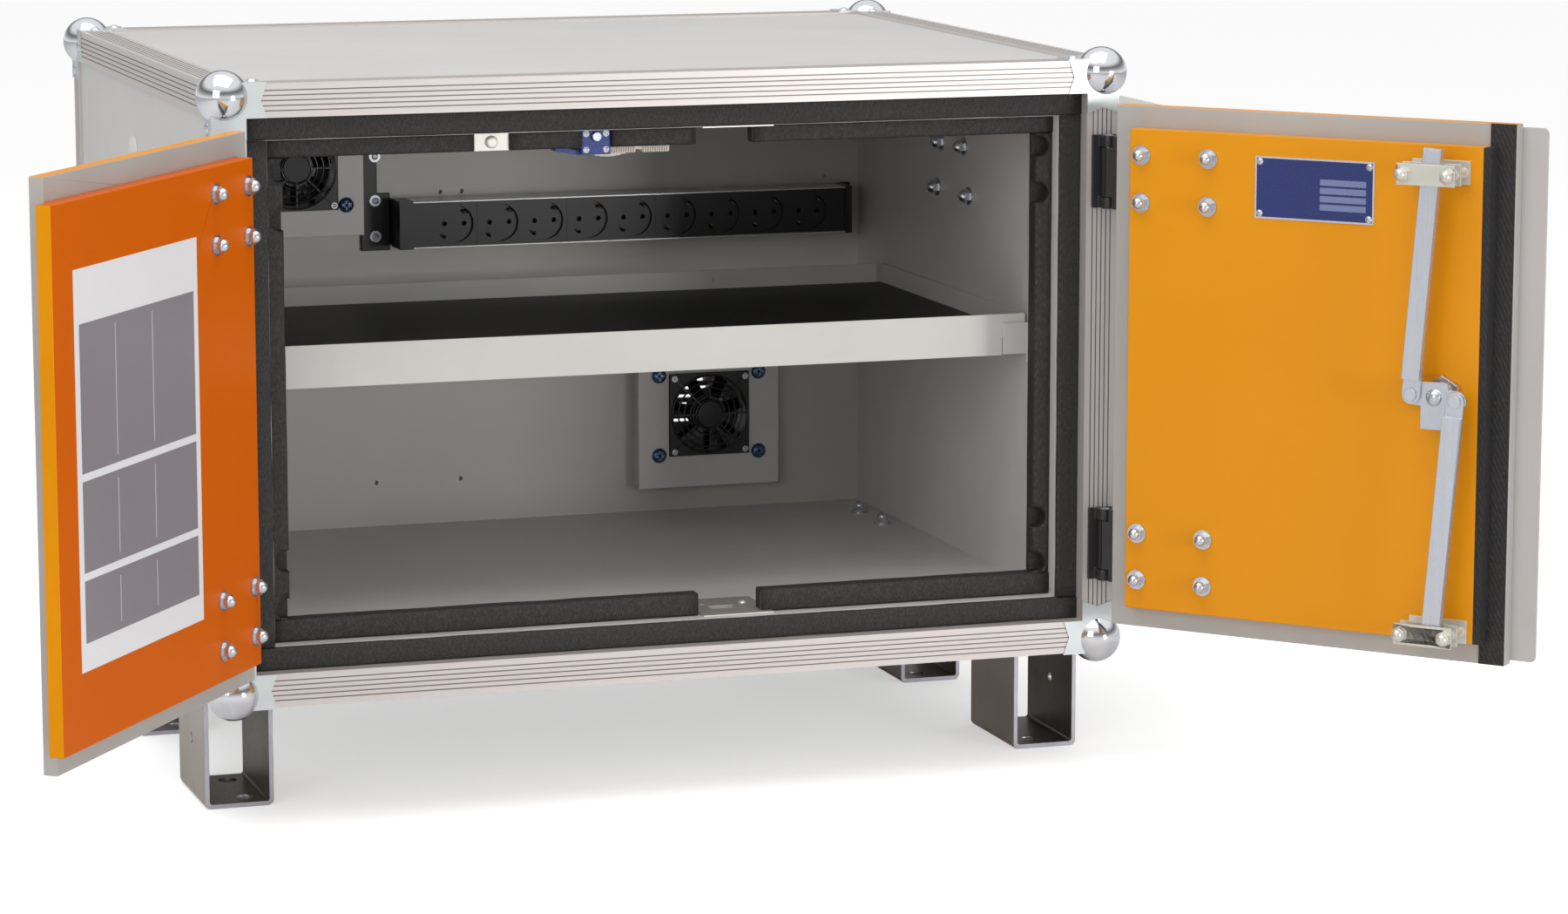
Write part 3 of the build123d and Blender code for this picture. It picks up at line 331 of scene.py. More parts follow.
rail_satin = ((206, 200, 197), (202, 195, 192))
# Painted shade in the grooves: a much darker copy of the satin colour.
rail_groove_shade = ((120, 114, 110), (112, 106, 103))
rail_gloss = (0.34, 0.38)
rail_metal = 0.35
rail_runs = {"front_rail_top": (streak, 1, 1), "front_rail_bottom": (streak, 1, 1),
             "front_rail_left": (1, 1, streak), "front_rail_right": (1, 1, streak),
             "rear_rails": (1, 1, 1), "side_rails": (1, streak, 1)}


def merged_copy(name):
    """Closed bmesh of a CAD node, with its flat faces whole again and only its curved ones smooth."""
    mesh = bmesh.new()
    mesh.from_mesh(nodes[name].data)
    bmesh.ops.remove_doubles(mesh, verts=mesh.verts, dist=merge_reach_m)
    bmesh.ops.dissolve_limit(mesh, angle_limit=flat_turn, verts=mesh.verts, edges=mesh.edges)
    for face in mesh.faces:
        turns = [edge.calc_face_angle(0) for edge in face.edges]
        face.smooth = any(flat_turn < turn < sharp_turn for turn in turns)
    return mesh


def face_width(face):
    """Second longest side of the box round a face."""
    return sorted(max(vert.co[axis] for vert in face.verts) - min(vert.co[axis] for vert in face.verts)
                  for axis in range(3))[1]


for name, stretch in rail_runs.items():
    mesh = merged_copy(name)
    for face in mesh.faces:
        # The narrow groove faces get the painted shade colour, the rest the satin one.
        face.material_index = 1 if face_width(face) < groove_across_m else 0
    finishes = [mottled(f"{name}_{kind}", *colors, rail_gloss, cloud=90.0, metallic=rail_metal, grain=0.0,
                        stretch=stretch)
                for kind, colors in (("satin", rail_satin), ("groove_shade", rail_groove_shade))]
    new_piece(f"{name}_finished", mesh, "case", finishes, (name,))

# Ball corners
# Pressed steel balls, bright nickel plated, on forked legs that are riveted over the rail ends. The
# legs are satin.

chrome = mottled("bright_nickel", (226, 227, 230), (214, 216, 220), (0.06, 0.12), cloud=30.0,
                 metallic=1.0, grain=0.03)
leg_satin = mottled("satin_nickel", (208, 214, 214), (198, 204, 205), (0.3, 0.36), cloud=30.0,
                    metallic=0.5, grain=0.03)
for name in ("ball_corners_front", "ball_corners_rear"):
    mesh = merged_copy(name)
    for face in mesh.faces:
        face.material_index = 0 if face.smooth else 1
    new_piece(f"{name}_finished", mesh, "case", [chrome, leg_satin], (name,))

# Feet
# Four millimetre steel strip, bent to a box with a flange. The zinc is warm grey outside, with
# painted shade making it darker on the inner faces, and the sawn edges are paler.

foot_edge = 0.4
foot_gauge = 4.0
outer_bend = 5.0
inner_bend = 1.8
bend_turn = math.radians(60)
bend_steps = 5
level_reach_m = 1e-5
mostly = 0.7

foot_zinc = mottled("passivated_zinc", (178, 166, 156), (158, 148, 140), (0.28, 0.42), cloud=10.0,
                    metallic=0.85, grain=0.06)
# Painted shade: a darker copy of the zinc for the inner faces of each foot.
foot_inside_shade = mottled("zinc_painted_shade", (112, 104, 92), (92, 87, 80), (0.3, 0.46), cloud=14.0, metallic=0.8,
                      grain=0.06)
foot_cut = mottled("cut_steel", (186, 184, 190), (172, 170, 178), (0.3, 0.44), cloud=60.0, metallic=0.7)
foot_finishes = [foot_zinc, foot_inside_shade, foot_cut]


def softened(name, body, materials, edge, choose=None, shape=None):
    """Piece that stands for a CAD node, with rounded edges.

    choose gives a face its material number, and shape changes the mesh first.
    """
    mesh = merged_copy(name)
    if shape:
        shape(mesh)
    if choose:
        for face in mesh.faces:
            face.material_index = choose(face)
    piece = new_piece(f"{name}_finished", mesh, body, materials, (name,))
    bevel = piece.modifiers.new("edges", "BEVEL")
    bevel.limit_method = "ANGLE"
    bevel.angle_limit = sharp_turn
    bevel.width = edge / 1000
    bevel.segments = 2
    bevel.use_clamp_overlap = False
    return piece


def bend_foot(mesh):
    """Rounds the two bends at the bottom of a foot, wide outside and tight inside."""
    ground = min(vert.co.z for vert in mesh.verts)
    for height, radius in ((0.0, outer_bend), (foot_gauge, inner_bend)):
        level = ground + height / 1000
        bends = [edge for edge in mesh.edges
                 if edge.calc_face_angle(0) > bend_turn
                 and abs(edge.verts[0].co.x - edge.verts[1].co.x) < level_reach_m
                 and all(abs(vert.co.z - level) < level_reach_m for vert in edge.verts)]
        made = bmesh.ops.bevel(mesh, geom=bends, offset=radius / 1000, segments=bend_steps, profile=0.5,
                               affect="EDGES")
        for face in made["faces"]:
            face.smooth = True


def foot_zone(name):
    """Chooser of material numbers for a foot: outside, inside with painted shade, cut edges."""
    low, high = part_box(name)
    middle = (Vector(low) + Vector(high)) / 2

    def choose(face):
        if abs(face.normal.y) > mostly:
            return 2
        return 1 if (middle - face.calc_center_median()).dot(face.normal) > 0 else 0

    return choose


for end in ("front", "rear"):
    for side in ("left", "right"):
        name = f"foot_{end}_{side}"
        softened(name, "case", foot_finishes, foot_edge, foot_zone(name), bend_foot)

# Door seals on the case
# Foam strips in a black woven sleeve, glued round the mouth in two rings. The long strips run
# through at top and bottom and the upright ones are cut to length between them, so pale threads
# show at the cuts. The inner ring stops at the strikes, the catch and the switch.

seal_rounding = 3.0
outer_seal_width = 20.0
inner_seal_side = 16.0
inner_seal_top = 16.0
inner_seal_bottom = 20.0
bottom_gap = (25.0, 83.0)
top_gap = (24.0, 76.0)
seal_wave = 0.35
seal_wave_length = 55.0
seal_wave_spread = 40.0
seal_wave_pinch = 6.0
seal_step = 12.0
cut_gap = 0.4
strip_clearance = 0.5


def make_weave_group():
    """Plain weave: crossed threads as small crests, with worn threads a little paler."""
    color, number, vector = "NodeSocketColor", "NodeSocketFloat", "NodeSocketVector"
    group, given, result = shade_group(
        "weave",
        (("Vector", vector, None), ("Color", color, (0.02, 0.02, 0.02, 1)),
         ("Thread Color", color, (0.1, 0.1, 0.1, 1)), ("Threads", number, 5200.0), ("Depth", number, 0.3)),
        (("Color", color), ("Roughness", number), ("Normal", vector)))
    at = given.outputs
    turned = add_node(group, "ShaderNodeVectorRotate", {"rotation_type": "EULER_XYZ"},
                      {"Rotation": (0.78, 0.78, 0.78)}, {"Vector": at["Vector"]})
    scaled = add_node(group, "ShaderNodeVectorMath", {"operation": "SCALE"},
                      feeds={"Vector": turned.outputs["Vector"], "Scale": at["Threads"]})
    crests = add_node(group, "ShaderNodeVectorMath", {"operation": "SINE"},
                      feeds={"Vector": scaled.outputs["Vector"]})
    summed = add_node(group, "ShaderNodeVectorMath", {"operation": "DOT_PRODUCT"}, {1: (0.34, 0.33, 0.33)},
                      {0: crests.outputs["Vector"]})
    worn = add_node(group, "ShaderNodeTexNoise", values={"Scale": 420.0, "Detail": 3.0},
                    feeds={"Vector": at["Vector"]})
    both = add_node(group, "ShaderNodeMath", {"operation": "MULTIPLY_ADD"}, {1: 0.35},
                    {0: summed.outputs["Value"], 2: worn.outputs["Fac"]})
    mask = add_node(group, "ShaderNodeMapRange", values={"From Min": 0.42, "From Max": 0.85},
                    feeds={"Value": both.outputs["Value"]})
    tint = add_node(group, "ShaderNodeMix", {"data_type": "RGBA"},
                    feeds={"Factor": mask.outputs["Result"], "A": at["Color"], "B": at["Thread Color"]})
    gloss = add_node(group, "ShaderNodeMapRange", values={"To Min": 0.75, "To Max": 0.55},
                     feeds={"Value": mask.outputs["Result"]})
    bump = add_node(group, "ShaderNodeBump", values={"Distance": 0.0003},
                    feeds={"Strength": at["Depth"], "Height": both.outputs["Value"]})
    group.links.new(tint.outputs["Result"], result.inputs["Color"])
    group.links.new(gloss.outputs["Result"], result.inputs["Roughness"])
    group.links.new(bump.outputs["Normal"], result.inputs["Normal"])
    return group


weave = make_weave_group()


def woven(name, color, thread):
    """Cloth material from the weave group, its two colors 0 to 255."""
    material, tree, shader, vector = new_finish(name)
    look = add_node(tree, "ShaderNodeGroup", {"node_tree": weave},
                    {"Color": linear(*color), "Thread Color": linear(*thread)}, {"Vector": vector})
    feed_shader(tree, look, shader)
    return material


def add_soft_strip(mesh, low, high, rounding, wave=0.0, corner_steps=4):
    """Padded strip that fills a box in millimetres (X, depth, height), rounded along its longest way."""
    size = [b - a for a, b in zip(low, high)]
    run = size.index(max(size))
    across, up = [axis for axis in range(3) if axis != run]
    radius = min(rounding, size[across] / 2, size[up] / 2)
    outline = []
    for corner, (sx, sy) in enumerate(((1, 1), (-1, 1), (-1, -1), (1, -1))):
        for step in range(corner_steps + 1):
            turn = math.pi / 2 * (corner + step / corner_steps)
            outline.append((sx * (size[across] / 2 - radius) + radius * math.cos(turn),
                            sy * (size[up] / 2 - radius) + radius * math.sin(turn)))
    if run == 1:
        outline.reverse()
    stations = max(2, round(size[run] / seal_step))
    rows = []
    for station in range(stations + 1):
        point = [0.0, 0.0, 0.0]
        point[run] = low[run] + size[run] * station / stations
        drift = noise.noise(Vector((point[run] / seal_wave_length, low[up] / seal_wave_spread,
                                    low[across] / seal_wave_spread)))
        shrink = 1 - wave * abs(drift) / seal_wave_pinch
        row = []
        for a, b in outline:
            point[across] = (low[across] + high[across]) / 2 + a * shrink
            point[up] = (low[up] + high[up]) / 2 + b * shrink + (wave * drift if up == 2 else 0)
            row.append(mesh.verts.new(place(*point)))
        rows.append(row)
    for first, second in zip(rows, rows[1:]):
        for i in range(len(outline)):
            j = (i + 1) % len(outline)
            mesh.faces.new((first[i], first[j], second[j], second[i])).smooth = True
    mesh.faces.new(list(reversed(rows[0])))
    mesh.faces.new(rows[-1])


def node_span(name):
    """Box of a CAD node in millimetres: (X, depth, height) of its low and high corners."""
    origin = place(0, 0, 0)
    return [[(value - start) * 1000 for value, start in zip(corner, origin)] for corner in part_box(name)]


def seal_ring_strips(name, side, bottom, top):
    """Boxes of the four strips of a seal ring: bottom, top, left, right."""
    (x0, d0, h0), (x1, d1, h1) = node_span(name)
    floor_line, ceiling_line = h0 + bottom, h1 - top
    return [((x0, d0, h0), (x1, d1, floor_line)), ((x0, d0, ceiling_line), (x1, d1, h1)),
            ((x0, d0, floor_line + cut_gap), (x0 + side, d1, ceiling_line - cut_gap)),
            ((x1 - side, d0, floor_line + cut_gap), (x1, d1, ceiling_line - cut_gap))]


def cut_strip(strip, gaps):
    """Strip along X, cut at gaps given as X from and to."""
    (x0, d0, h0), (x1, d1, h1) = strip
    kept = []
    for start, end in sorted(gaps):
        kept.append(((x0, d0, h0), (start, d1, h1)))
        x0 = end
    return [*kept, ((x0, d0, h0), (x1, d1, h1))]


def x_span(name, clearance):
    """X from and to of a CAD node, with a clearance on both sides."""
    low, high = node_span(name)
    return low[0] - clearance, high[0] + clearance


seal_cloth = woven("seal_cloth", (27, 26, 26), (58, 55, 54))
outer_strips = seal_ring_strips("outer_seal", outer_seal_width, outer_seal_width, outer_seal_width)
inner_bottom, inner_top, *inner_sides = seal_ring_strips("inner_seal", inner_seal_side, inner_seal_bottom,
                                                         inner_seal_top)
bottom_strips = cut_strip(inner_bottom, [bottom_gap])
top_strips = cut_strip(inner_top, [top_gap, x_span("catch_bracket", strip_clearance),
                                   x_span("switch_box", strip_clearance)])
for name, parts in (("outer_seal", outer_strips), ("inner_seal", bottom_strips + top_strips + inner_sides)):
    mesh = bmesh.new()
    for low, high in parts:
        add_soft_strip(mesh, low, high, seal_rounding, seal_wave)
    new_piece(f"{name}_cloth", mesh, "case", [seal_cloth], (name,))

thread_length = 1.2
thread_depth = 3.0
thread_radius = 0.14
thread_pitch = 0.9
thread_inset = 1.5
thread_tip_m = 0.00004
thread_lean = 0.6
thread_spin = 6.28
thread_seed = 4


def geometry_tree(name, inputs):
    """Empty Geometry Nodes tree that works on points, with its named inputs."""
    tree = bpy.data.node_groups.new(name, "GeometryNodeTree")
    tree.interface.new_socket("Points", in_out="INPUT", socket_type="NodeSocketGeometry")
    for label, kind in inputs:
        tree.interface.new_socket(label, in_out="INPUT", socket_type=f"NodeSocket{kind}")
    tree.interface.new_socket("Geometry", in_out="OUTPUT", socket_type="NodeSocketGeometry")
    return tree, tree.nodes.new("NodeGroupInput").outputs, tree.nodes.new("NodeGroupOutput").inputs


def finish_tree(tree, instances, material, result):
    """Ends a tree with a real mesh in one material."""
    real = add_node(tree, "GeometryNodeRealizeInstances", feeds={"Geometry": instances})
    painted = add_node(tree, "GeometryNodeSetMaterial",
                       feeds={"Geometry": real.outputs[0], "Material": material})
    tree.links.new(painted.outputs[0], result["Geometry"])


def facing_of(tree):
    """The way each point faces."""
    return add_node(tree, "GeometryNodeInputNamedAttribute", {"data_type": "FLOAT_VECTOR"},
                    {"Name": "facing"}).outputs["Attribute"]


def facing_turn(tree, spin=None):
    """Rotation that turns a shape's Z along the facing of its point, and spins the shape before that."""
    turn = add_node(tree, "FunctionNodeAlignRotationToVector", {"axis": "Z"},
                    feeds={"Vector": facing_of(tree)})
    if not spin:
        return turn.outputs[0]
    return add_node(tree, "FunctionNodeRotateRotation", {"rotation_space": "LOCAL"},
                    feeds={"Rotation": turn.outputs[0], "Rotate By": spin}).outputs[0]


def make_thread_tree():
    """Short threads that stick out of a cut edge, each leaning its own way."""
    tree, given, result = geometry_tree(
        "cut_threads", (("Length", "Float"), ("Radius", "Float"), ("Seed", "Int"), ("Material", "Material")))
    stick = add_node(tree, "GeometryNodeMeshCone", values={"Vertices": 5, "Radius Top": thread_tip_m},
                     feeds={"Radius Bottom": given["Radius"], "Depth": given["Length"]})
    lean = add_node(tree, "FunctionNodeRandomValue", {"data_type": "FLOAT_VECTOR"},
                    {0: (-thread_lean, -thread_lean, 0.0), 1: (thread_lean, thread_lean, thread_spin)},
                    {"Seed": given["Seed"]})
    spin = add_node(tree, "FunctionNodeEulerToRotation", feeds={0: lean.outputs[0]})
    sticks = add_node(tree, "GeometryNodeInstanceOnPoints",
                      feeds={"Points": given["Points"], "Instance": stick.outputs["Mesh"],
                             "Rotation": facing_turn(tree, spin.outputs[0])})
    finish_tree(tree, sticks.outputs[0], given["Material"], result)
    return tree


def grown(name, points, facings, tree, values, body, swing=None):
    """Piece that a tree makes on points in metres, each with the way it faces."""
    seeds = bpy.data.meshes.new(name)
    seeds.from_pydata([tuple(point) for point in points], [], [])
    facing = seeds.attributes.new("facing", "FLOAT_VECTOR", "POINT")
    for item, way in zip(facing.data, facings):
        item.vector = way
    piece = bpy.data.objects.new(name, seeds)
    bpy.context.scene.collection.objects.link(piece)
    modifier = piece.modifiers.new(name, "NODES")
    modifier.node_group = tree
    for item in tree.interface.items_tree:
        if item.in_out == "INPUT" and item.name in values:
            modifier[item.identifier] = values[item.name]
    graph = bpy.context.evaluated_depsgraph_get()
    made = bpy.data.meshes.new_from_object(piece.evaluated_get(graph), depsgraph=graph)
    piece.modifiers.remove(modifier)
    piece.data = made
    if swing:
        made.transform(swing)
    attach(piece, body)
    return piece


def cut_edge_points(strip, end):
    """Points round the front of a strip's cut end, and the way that end faces."""
    (x0, d0, h0), (x1, _, h1) = strip
    front = d0 + thread_depth
    if x1 - x0 > h1 - h0:
        count = int((h1 - h0 - 2 * thread_inset) / thread_pitch)
        x = x1 if end > 0 else x0
        return [(x, front, h0 + thread_inset + i * thread_pitch) for i in range(count)], (end, 0, 0)
    count = int((x1 - x0 - 2 * thread_inset) / thread_pitch)
    height = h1 if end > 0 else h0
    return [(x0 + thread_inset + i * thread_pitch, front, height) for i in range(count)], (0, 0, end)


pale_thread = mottled("pale_thread", (176, 172, 166), (150, 146, 140), (0.7, 0.9))
cut_ends = [(strip, end) for strip in (*outer_strips[2:], *inner_sides) for end in (-1, 1)]
cut_ends += [(bottom_strips[0], 1), (bottom_strips[1], -1), (top_strips[-2], 1), (top_strips[-1], -1)]
points, facings = [], []
for strip, end in cut_ends:
    edge_points, way = cut_edge_points(strip, end)
    points += [place(*point) for point in edge_points]
    facings += [way] * len(edge_points)
thread_tree = make_thread_tree()
grown("seal_threads", points, facings, thread_tree,
      {"Length": thread_length / 1000, "Radius": thread_radius / 1000, "Seed": thread_seed,
       "Material": pale_thread}, "case")

# Case fasteners
# Domed rivets at the corners, and bolts with cap nuts through the walls and the floor, in bright
# zinc with a faint bluish cloud.

zinc = mottled("bright_zinc", (214, 217, 222), (196, 200, 208), (0.2, 0.32), cloud=120.0,
               metallic=0.95, grain=0.08)
blued = mottled("blued_zinc", (112, 132, 158), (84, 100, 126), (0.16, 0.26), cloud=200.0, metallic=1.0)
cover_screw_zone_m = 0.30
cover_seat_reach_m = 0.006


def islands(mesh):
    """Lists of faces, one for each loose part of a bmesh."""
    left = set(mesh.faces)
    while left:
        part, edge_of = [], [left.pop()]
        while edge_of:
            face = edge_of.pop()
            part.append(face)
            near = {other for edge in face.edges for other in edge.link_faces} & left
            left -= near
            edge_of += near
        yield part


def middle_of(faces):
    """Middle of the box round some faces."""
    spots = [vert.co for face in faces for vert in face.verts]
    return Vector([(min(s[axis] for s in spots) + max(s[axis] for s in spots)) / 2 for axis in range(3)])


fastener_mesh = merged_copy("case_fasteners")
cover_face_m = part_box("fan_covers")[0][1]
cover_heads = []
for faces in list(islands(fastener_mesh)):
    centre = middle_of(faces)
    if abs(centre.x) < cover_screw_zone_m and abs(centre.y - cover_face_m) < cover_seat_reach_m:
        cover_heads.append(Vector((centre.x, cover_face_m, centre.z)))
        bmesh.ops.delete(fastener_mesh, geom=faces, context="FACES")
new_piece("case_fasteners_finished", fastener_mesh, "case", [zinc], ("case_fasteners",))
dress(zinc, "hinge_pins", "left_door_bolts", "right_door_bolts")


def make_screw_tree():
    """Dome headed screws with a cross recess, on a thin washer."""
    tree, given, result = geometry_tree(
        "cross_screws", (("Radius", "Float"), ("Rise", "Float"), ("Recess", "Float"),
                         ("Washer Radius", "Float"), ("Washer Height", "Float"), ("Material", "Material")))
    ball = add_node(tree, "GeometryNodeMeshUVSphere", values={"Segments": 24, "Rings": 14, "Radius": 1.0})
    stretch = add_node(tree, "ShaderNodeCombineXYZ",
                       feeds={"X": given["Radius"], "Y": given["Radius"], "Z": given["Rise"]})
    head = add_node(tree, "GeometryNodeTransform",
                    feeds={"Geometry": ball.outputs["Mesh"], "Scale": stretch.outputs[0]})
    heads = add_node(tree, "GeometryNodeSetShadeSmooth", feeds={"Geometry": head.outputs[0]}).outputs[0]
    arm_width = add_node(tree, "ShaderNodeMath", {"operation": "MULTIPLY"}, {1: 0.3}, {0: given["Recess"]})
    lift = add_node(tree, "ShaderNodeCombineXYZ", feeds={"Z": given["Rise"]})
    for first, second in ((given["Recess"], arm_width.outputs[0]), (arm_width.outputs[0], given["Recess"])):
        size = add_node(tree, "ShaderNodeCombineXYZ", feeds={"X": first, "Y": second, "Z": given["Rise"]})
        arm = add_node(tree, "GeometryNodeMeshCube", feeds={"Size": size.outputs[0]})
        lifted = add_node(tree, "GeometryNodeTransform",
                          feeds={"Geometry": arm.outputs["Mesh"], "Translation": lift.outputs[0]})
        heads = add_node(tree, "GeometryNodeMeshBoolean", {"operation": "DIFFERENCE"},
                         feeds={"Mesh 1": heads, "Mesh 2": lifted.outputs[0]}).outputs["Mesh"]
    washer = add_node(tree, "GeometryNodeMeshCylinder", values={"Vertices": 28},
                      feeds={"Radius": given["Washer Radius"], "Depth": given["Washer Height"]})
    joined = add_node(tree, "GeometryNodeJoinGeometry", feeds={"Geometry": heads})
    tree.links.new(washer.outputs["Mesh"], joined.inputs["Geometry"])
    placed = add_node(tree, "GeometryNodeInstanceOnPoints",
                      feeds={"Points": given["Points"], "Instance": joined.outputs[0],
                             "Rotation": facing_turn(tree)})
    finish_tree(tree, placed.outputs[0], given["Material"], result)
    return tree


recess_share = 1.1
screw_tree = make_screw_tree()


def screws(name, spots, way, size, material, body, swing=None):
    """Cross recess screws on spots in metres.

    size is the head's radius and rise, and the washer's radius and height over the seat.
    """
    radius, rise, washer_radius, washer_rise = (value / 1000 for value in size)
    values = {"Radius": radius, "Rise": rise, "Recess": radius * recess_share,
              "Washer Radius": washer_radius, "Washer Height": washer_rise * 2, "Material": material}
    return grown(name, spots, [way] * len(spots), screw_tree, values, body, swing)


def places(spots):
    """Points in metres of spots given in millimetres."""
    return [place(*spot) for spot in spots]


cover_screw = (7.4, 4.4, 4.0, 0.2)
screws("cover_screws", cover_heads, (0, -1, 0), cover_screw, blued, "case")

# Shelf and its rails
# A tray folded from sheet steel, powder coated light grey, that lies on two angle rails. A dark
# smooth mat lines it, and small rivets show in its back flange.

sheet_edge = 0.45
flange_rivet_radius = 2.6
flange_rivet_rise = 1.2
flange_rivets = (-245.0, 175.0)
flange_rivet_drop = 9.0

powder = mottled("grey_powder_coat", (204, 204, 199), (198, 198, 194), (0.40, 0.5), grain_scale=1400.0,
                 grain=0.25)
rivet_seat = 1.5
mat_sheet = mottled("dark_mat", (34, 32, 31), (28, 27, 26), (0.4, 0.48), cloud=3.0,
                    grain_scale=2200.0, grain=0.08, gloss_level=0.2)
softened("shelf", "case", [powder], sheet_edge)
softened("shelf_rails", "case", [powder], sheet_edge)
dress(mat_sheet, "shelf_mat")

rivet_mesh = bmesh.new()
shelf_high = node_span("shelf")[1]
for x in flange_rivets:
    add_dome(rivet_mesh, place(x, shelf_high[1] - rivet_seat, shelf_high[2] - flange_rivet_drop), (0, -1, 0),
             flange_rivet_radius, flange_rivet_rise)
new_piece("shelf_rivets", rivet_mesh, "case", [powder])

# Socket strip
# Nine round sockets in a black moulded insert, held in an aluminium channel. The sockets are
# turned half a quarter, so each has a bright earth clip above on the right and below on the left.
# Black brackets hold the strip to the wall with ringed screws.

clip_turn = math.radians(48)
clip_reach = 15.5
clip_size = (4.6, 3.2, 1.4)
clip_lean = 0.5
socket_pitch = 44.0
socket_first = 53.5
socket_count = 9
channel_edge = 0.35
end_cap_length = 13.0
cap_lip = 2.0
joint_line = 0.5
ear_screw_inset = 14.0
ear_screw_drops = (8.0, 50.0, 84.0)
strip_screw = (3.4, 2.0, 5.4, 0.8)
clip_lift = 0.4
joint_lift = 0.35
cap_overlap = 0.4
cap_depth = 30.0

strip_metal = mottled("strip_aluminium", (206, 206, 206), (190, 190, 190), (0.22, 0.34), cloud=60.0,
                      metallic=0.9, stretch=(streak, 1, 1))
black_plastic = mottled("black_plastic", (17, 17, 18), (12, 12, 13), (0.32, 0.42), grain=0.15)
clip_metal = mottled("clip_metal", (214, 210, 200), (196, 190, 180), (0.15, 0.25), metallic=1.0)
softened("strip_channel", "case", [strip_metal], channel_edge)
softened("strip_brackets", "case", [black_plastic], edge=0.8)
dress(black_plastic, "socket_block")


def add_box(mesh, low, high, matrix=None):
    """Closed block between two corners in millimetres (X, depth, height)."""
    corners = [place(x, depth, height) for x in (low[0], high[0]) for depth in (low[1], high[1])
               for height in (low[2], high[2])]
    if matrix:
        corners = [matrix @ corner for corner in corners]
    verts = [mesh.verts.new(corner) for corner in corners]
    return [mesh.faces.new([verts[i] for i in face])
            for face in ((0, 1, 3, 2), (4, 6, 7, 5), (0, 4, 5, 1), (2, 3, 7, 6), (0, 2, 6, 4), (1, 5, 7, 3))]


def make_clip_tree():
    """Small folded clip on each point."""
    tree, given, result = geometry_tree("earth_clips", (("Size", "Vector"), ("Material", "Material")))
    block = add_node(tree, "GeometryNodeMeshCube", feeds={"Size": given["Size"]})
    clips = add_node(tree, "GeometryNodeInstanceOnPoints",
                     feeds={"Points": given["Points"], "Instance": block.outputs["Mesh"],
                            "Rotation": facing_turn(tree)})
    finish_tree(tree, clips.outputs[0], given["Material"], result)
    return tree


strip_low, strip_high = node_span("socket_block")
strip_middle = (strip_low[2] + strip_high[2]) / 2
points, facings = [], []
for i in range(socket_count):
    for side in (1, -1):
        across, rise = side * math.cos(clip_turn), side * math.sin(clip_turn)
        points.append(place(strip_low[0] + socket_first + i * socket_pitch + across * clip_reach,
                            strip_low[1] - clip_lift, strip_middle + rise * clip_reach))
        facings.append((across, -clip_lean, rise))
grown("earth_clips", points, facings, make_clip_tree(),
      {"Size": tuple(value / 1000 for value in clip_size), "Material": clip_metal}, "case")

strip_ends = bmesh.new()
for i in range(0, socket_count, 2):
    x = strip_low[0] + socket_first + (i + 0.5) * socket_pitch
    add_box(strip_ends, (x - joint_line, strip_low[1] - joint_lift, strip_low[2]),
            (x + joint_line, strip_low[1], strip_high[2]))
for x0, x1 in ((strip_low[0] - cap_overlap, strip_low[0] + end_cap_length),
               (strip_high[0] - end_cap_length / 2, strip_high[0] + cap_overlap)):
    add_box(strip_ends, (x0, strip_low[1] - cap_lip, strip_low[2] - cap_lip),
            (x1, strip_low[1] + cap_depth, strip_high[2] + cap_lip))
new_piece("strip_end_caps", strip_ends, "case", [black_plastic])

ear_low, ear_high = node_span("strip_brackets")
ear_screws = [(ear_low[0] + ear_screw_inset, ear_low[1], ear_high[2] - drop) for drop in ear_screw_drops]
screws("strip_screws", places(ear_screws), (0, -1, 0), strip_screw, zinc, "case")

# Fans
# Square fans let into laminate cover blocks. Each has a black frame and rotor behind a guard of
# round wire rings, with small screws at the corners of the frame.

guard_radii = (14.0, 20.0, 26.0, 32.0, 38.0)
guard_wire = 0.9
spoke_turns = (0, 45, 90, 135)
spoke_half_width = 0.8
guard_hub_radius = 12.5
corner_offset = 35.75
spoke_front = 1.3
spoke_back = 0.1
hub_gauge = 1.6
fan_screw = (2.3, 1.4, 2.9, 0.5)
fan_screw_lift = 1.0

wire_black = mottled("wire_black", (22, 22, 23), (16, 16, 17), (0.12, 0.2))
rotor_black = mottled("rotor_black", (20, 20, 21), (15, 15, 16), (0.3, 0.4), grain=0.1)
softened("fan_covers", "case", [laminate], edge=0.5)
dress(black_plastic, "fan_frame_upper", "fan_frame_lower")
dress(rotor_black, "fan_rotor_upper", "fan_rotor_lower")


def make_ring_tree():
    """Wire rings on points. The facing is a ring's axis, and its length is the ring's radius."""
    tree, given, result = geometry_tree("wire_rings", (("Wire", "Float"), ("Material", "Material")))
    circle = add_node(tree, "GeometryNodeCurvePrimitiveCircle", values={"Resolution": 56, "Radius": 1.0})
    size = add_node(tree, "ShaderNodeVectorMath", {"operation": "LENGTH"}, feeds={0: facing_of(tree)})
    rings = add_node(tree, "GeometryNodeInstanceOnPoints",
                     feeds={"Points": given["Points"], "Instance": circle.outputs[0],
                            "Rotation": facing_turn(tree), "Scale": size.outputs["Value"]})
    loops = add_node(tree, "GeometryNodeRealizeInstances", feeds={"Geometry": rings.outputs[0]})
    section = add_node(tree, "GeometryNodeCurvePrimitiveCircle", values={"Resolution": 10},
                       feeds={"Radius": given["Wire"]})
    wires = add_node(tree, "GeometryNodeCurveToMesh",
                     feeds={"Curve": loops.outputs[0], "Profile Curve": section.outputs[0]})
    finish_tree(tree, wires.outputs[0], given["Material"], result)
    return tree


def fan_middle(name):
    """X, front depth and height of a fan's middle."""
    low, high = node_span(name)
    return (low[0] + high[0]) / 2, low[1], (low[2] + high[2]) / 2


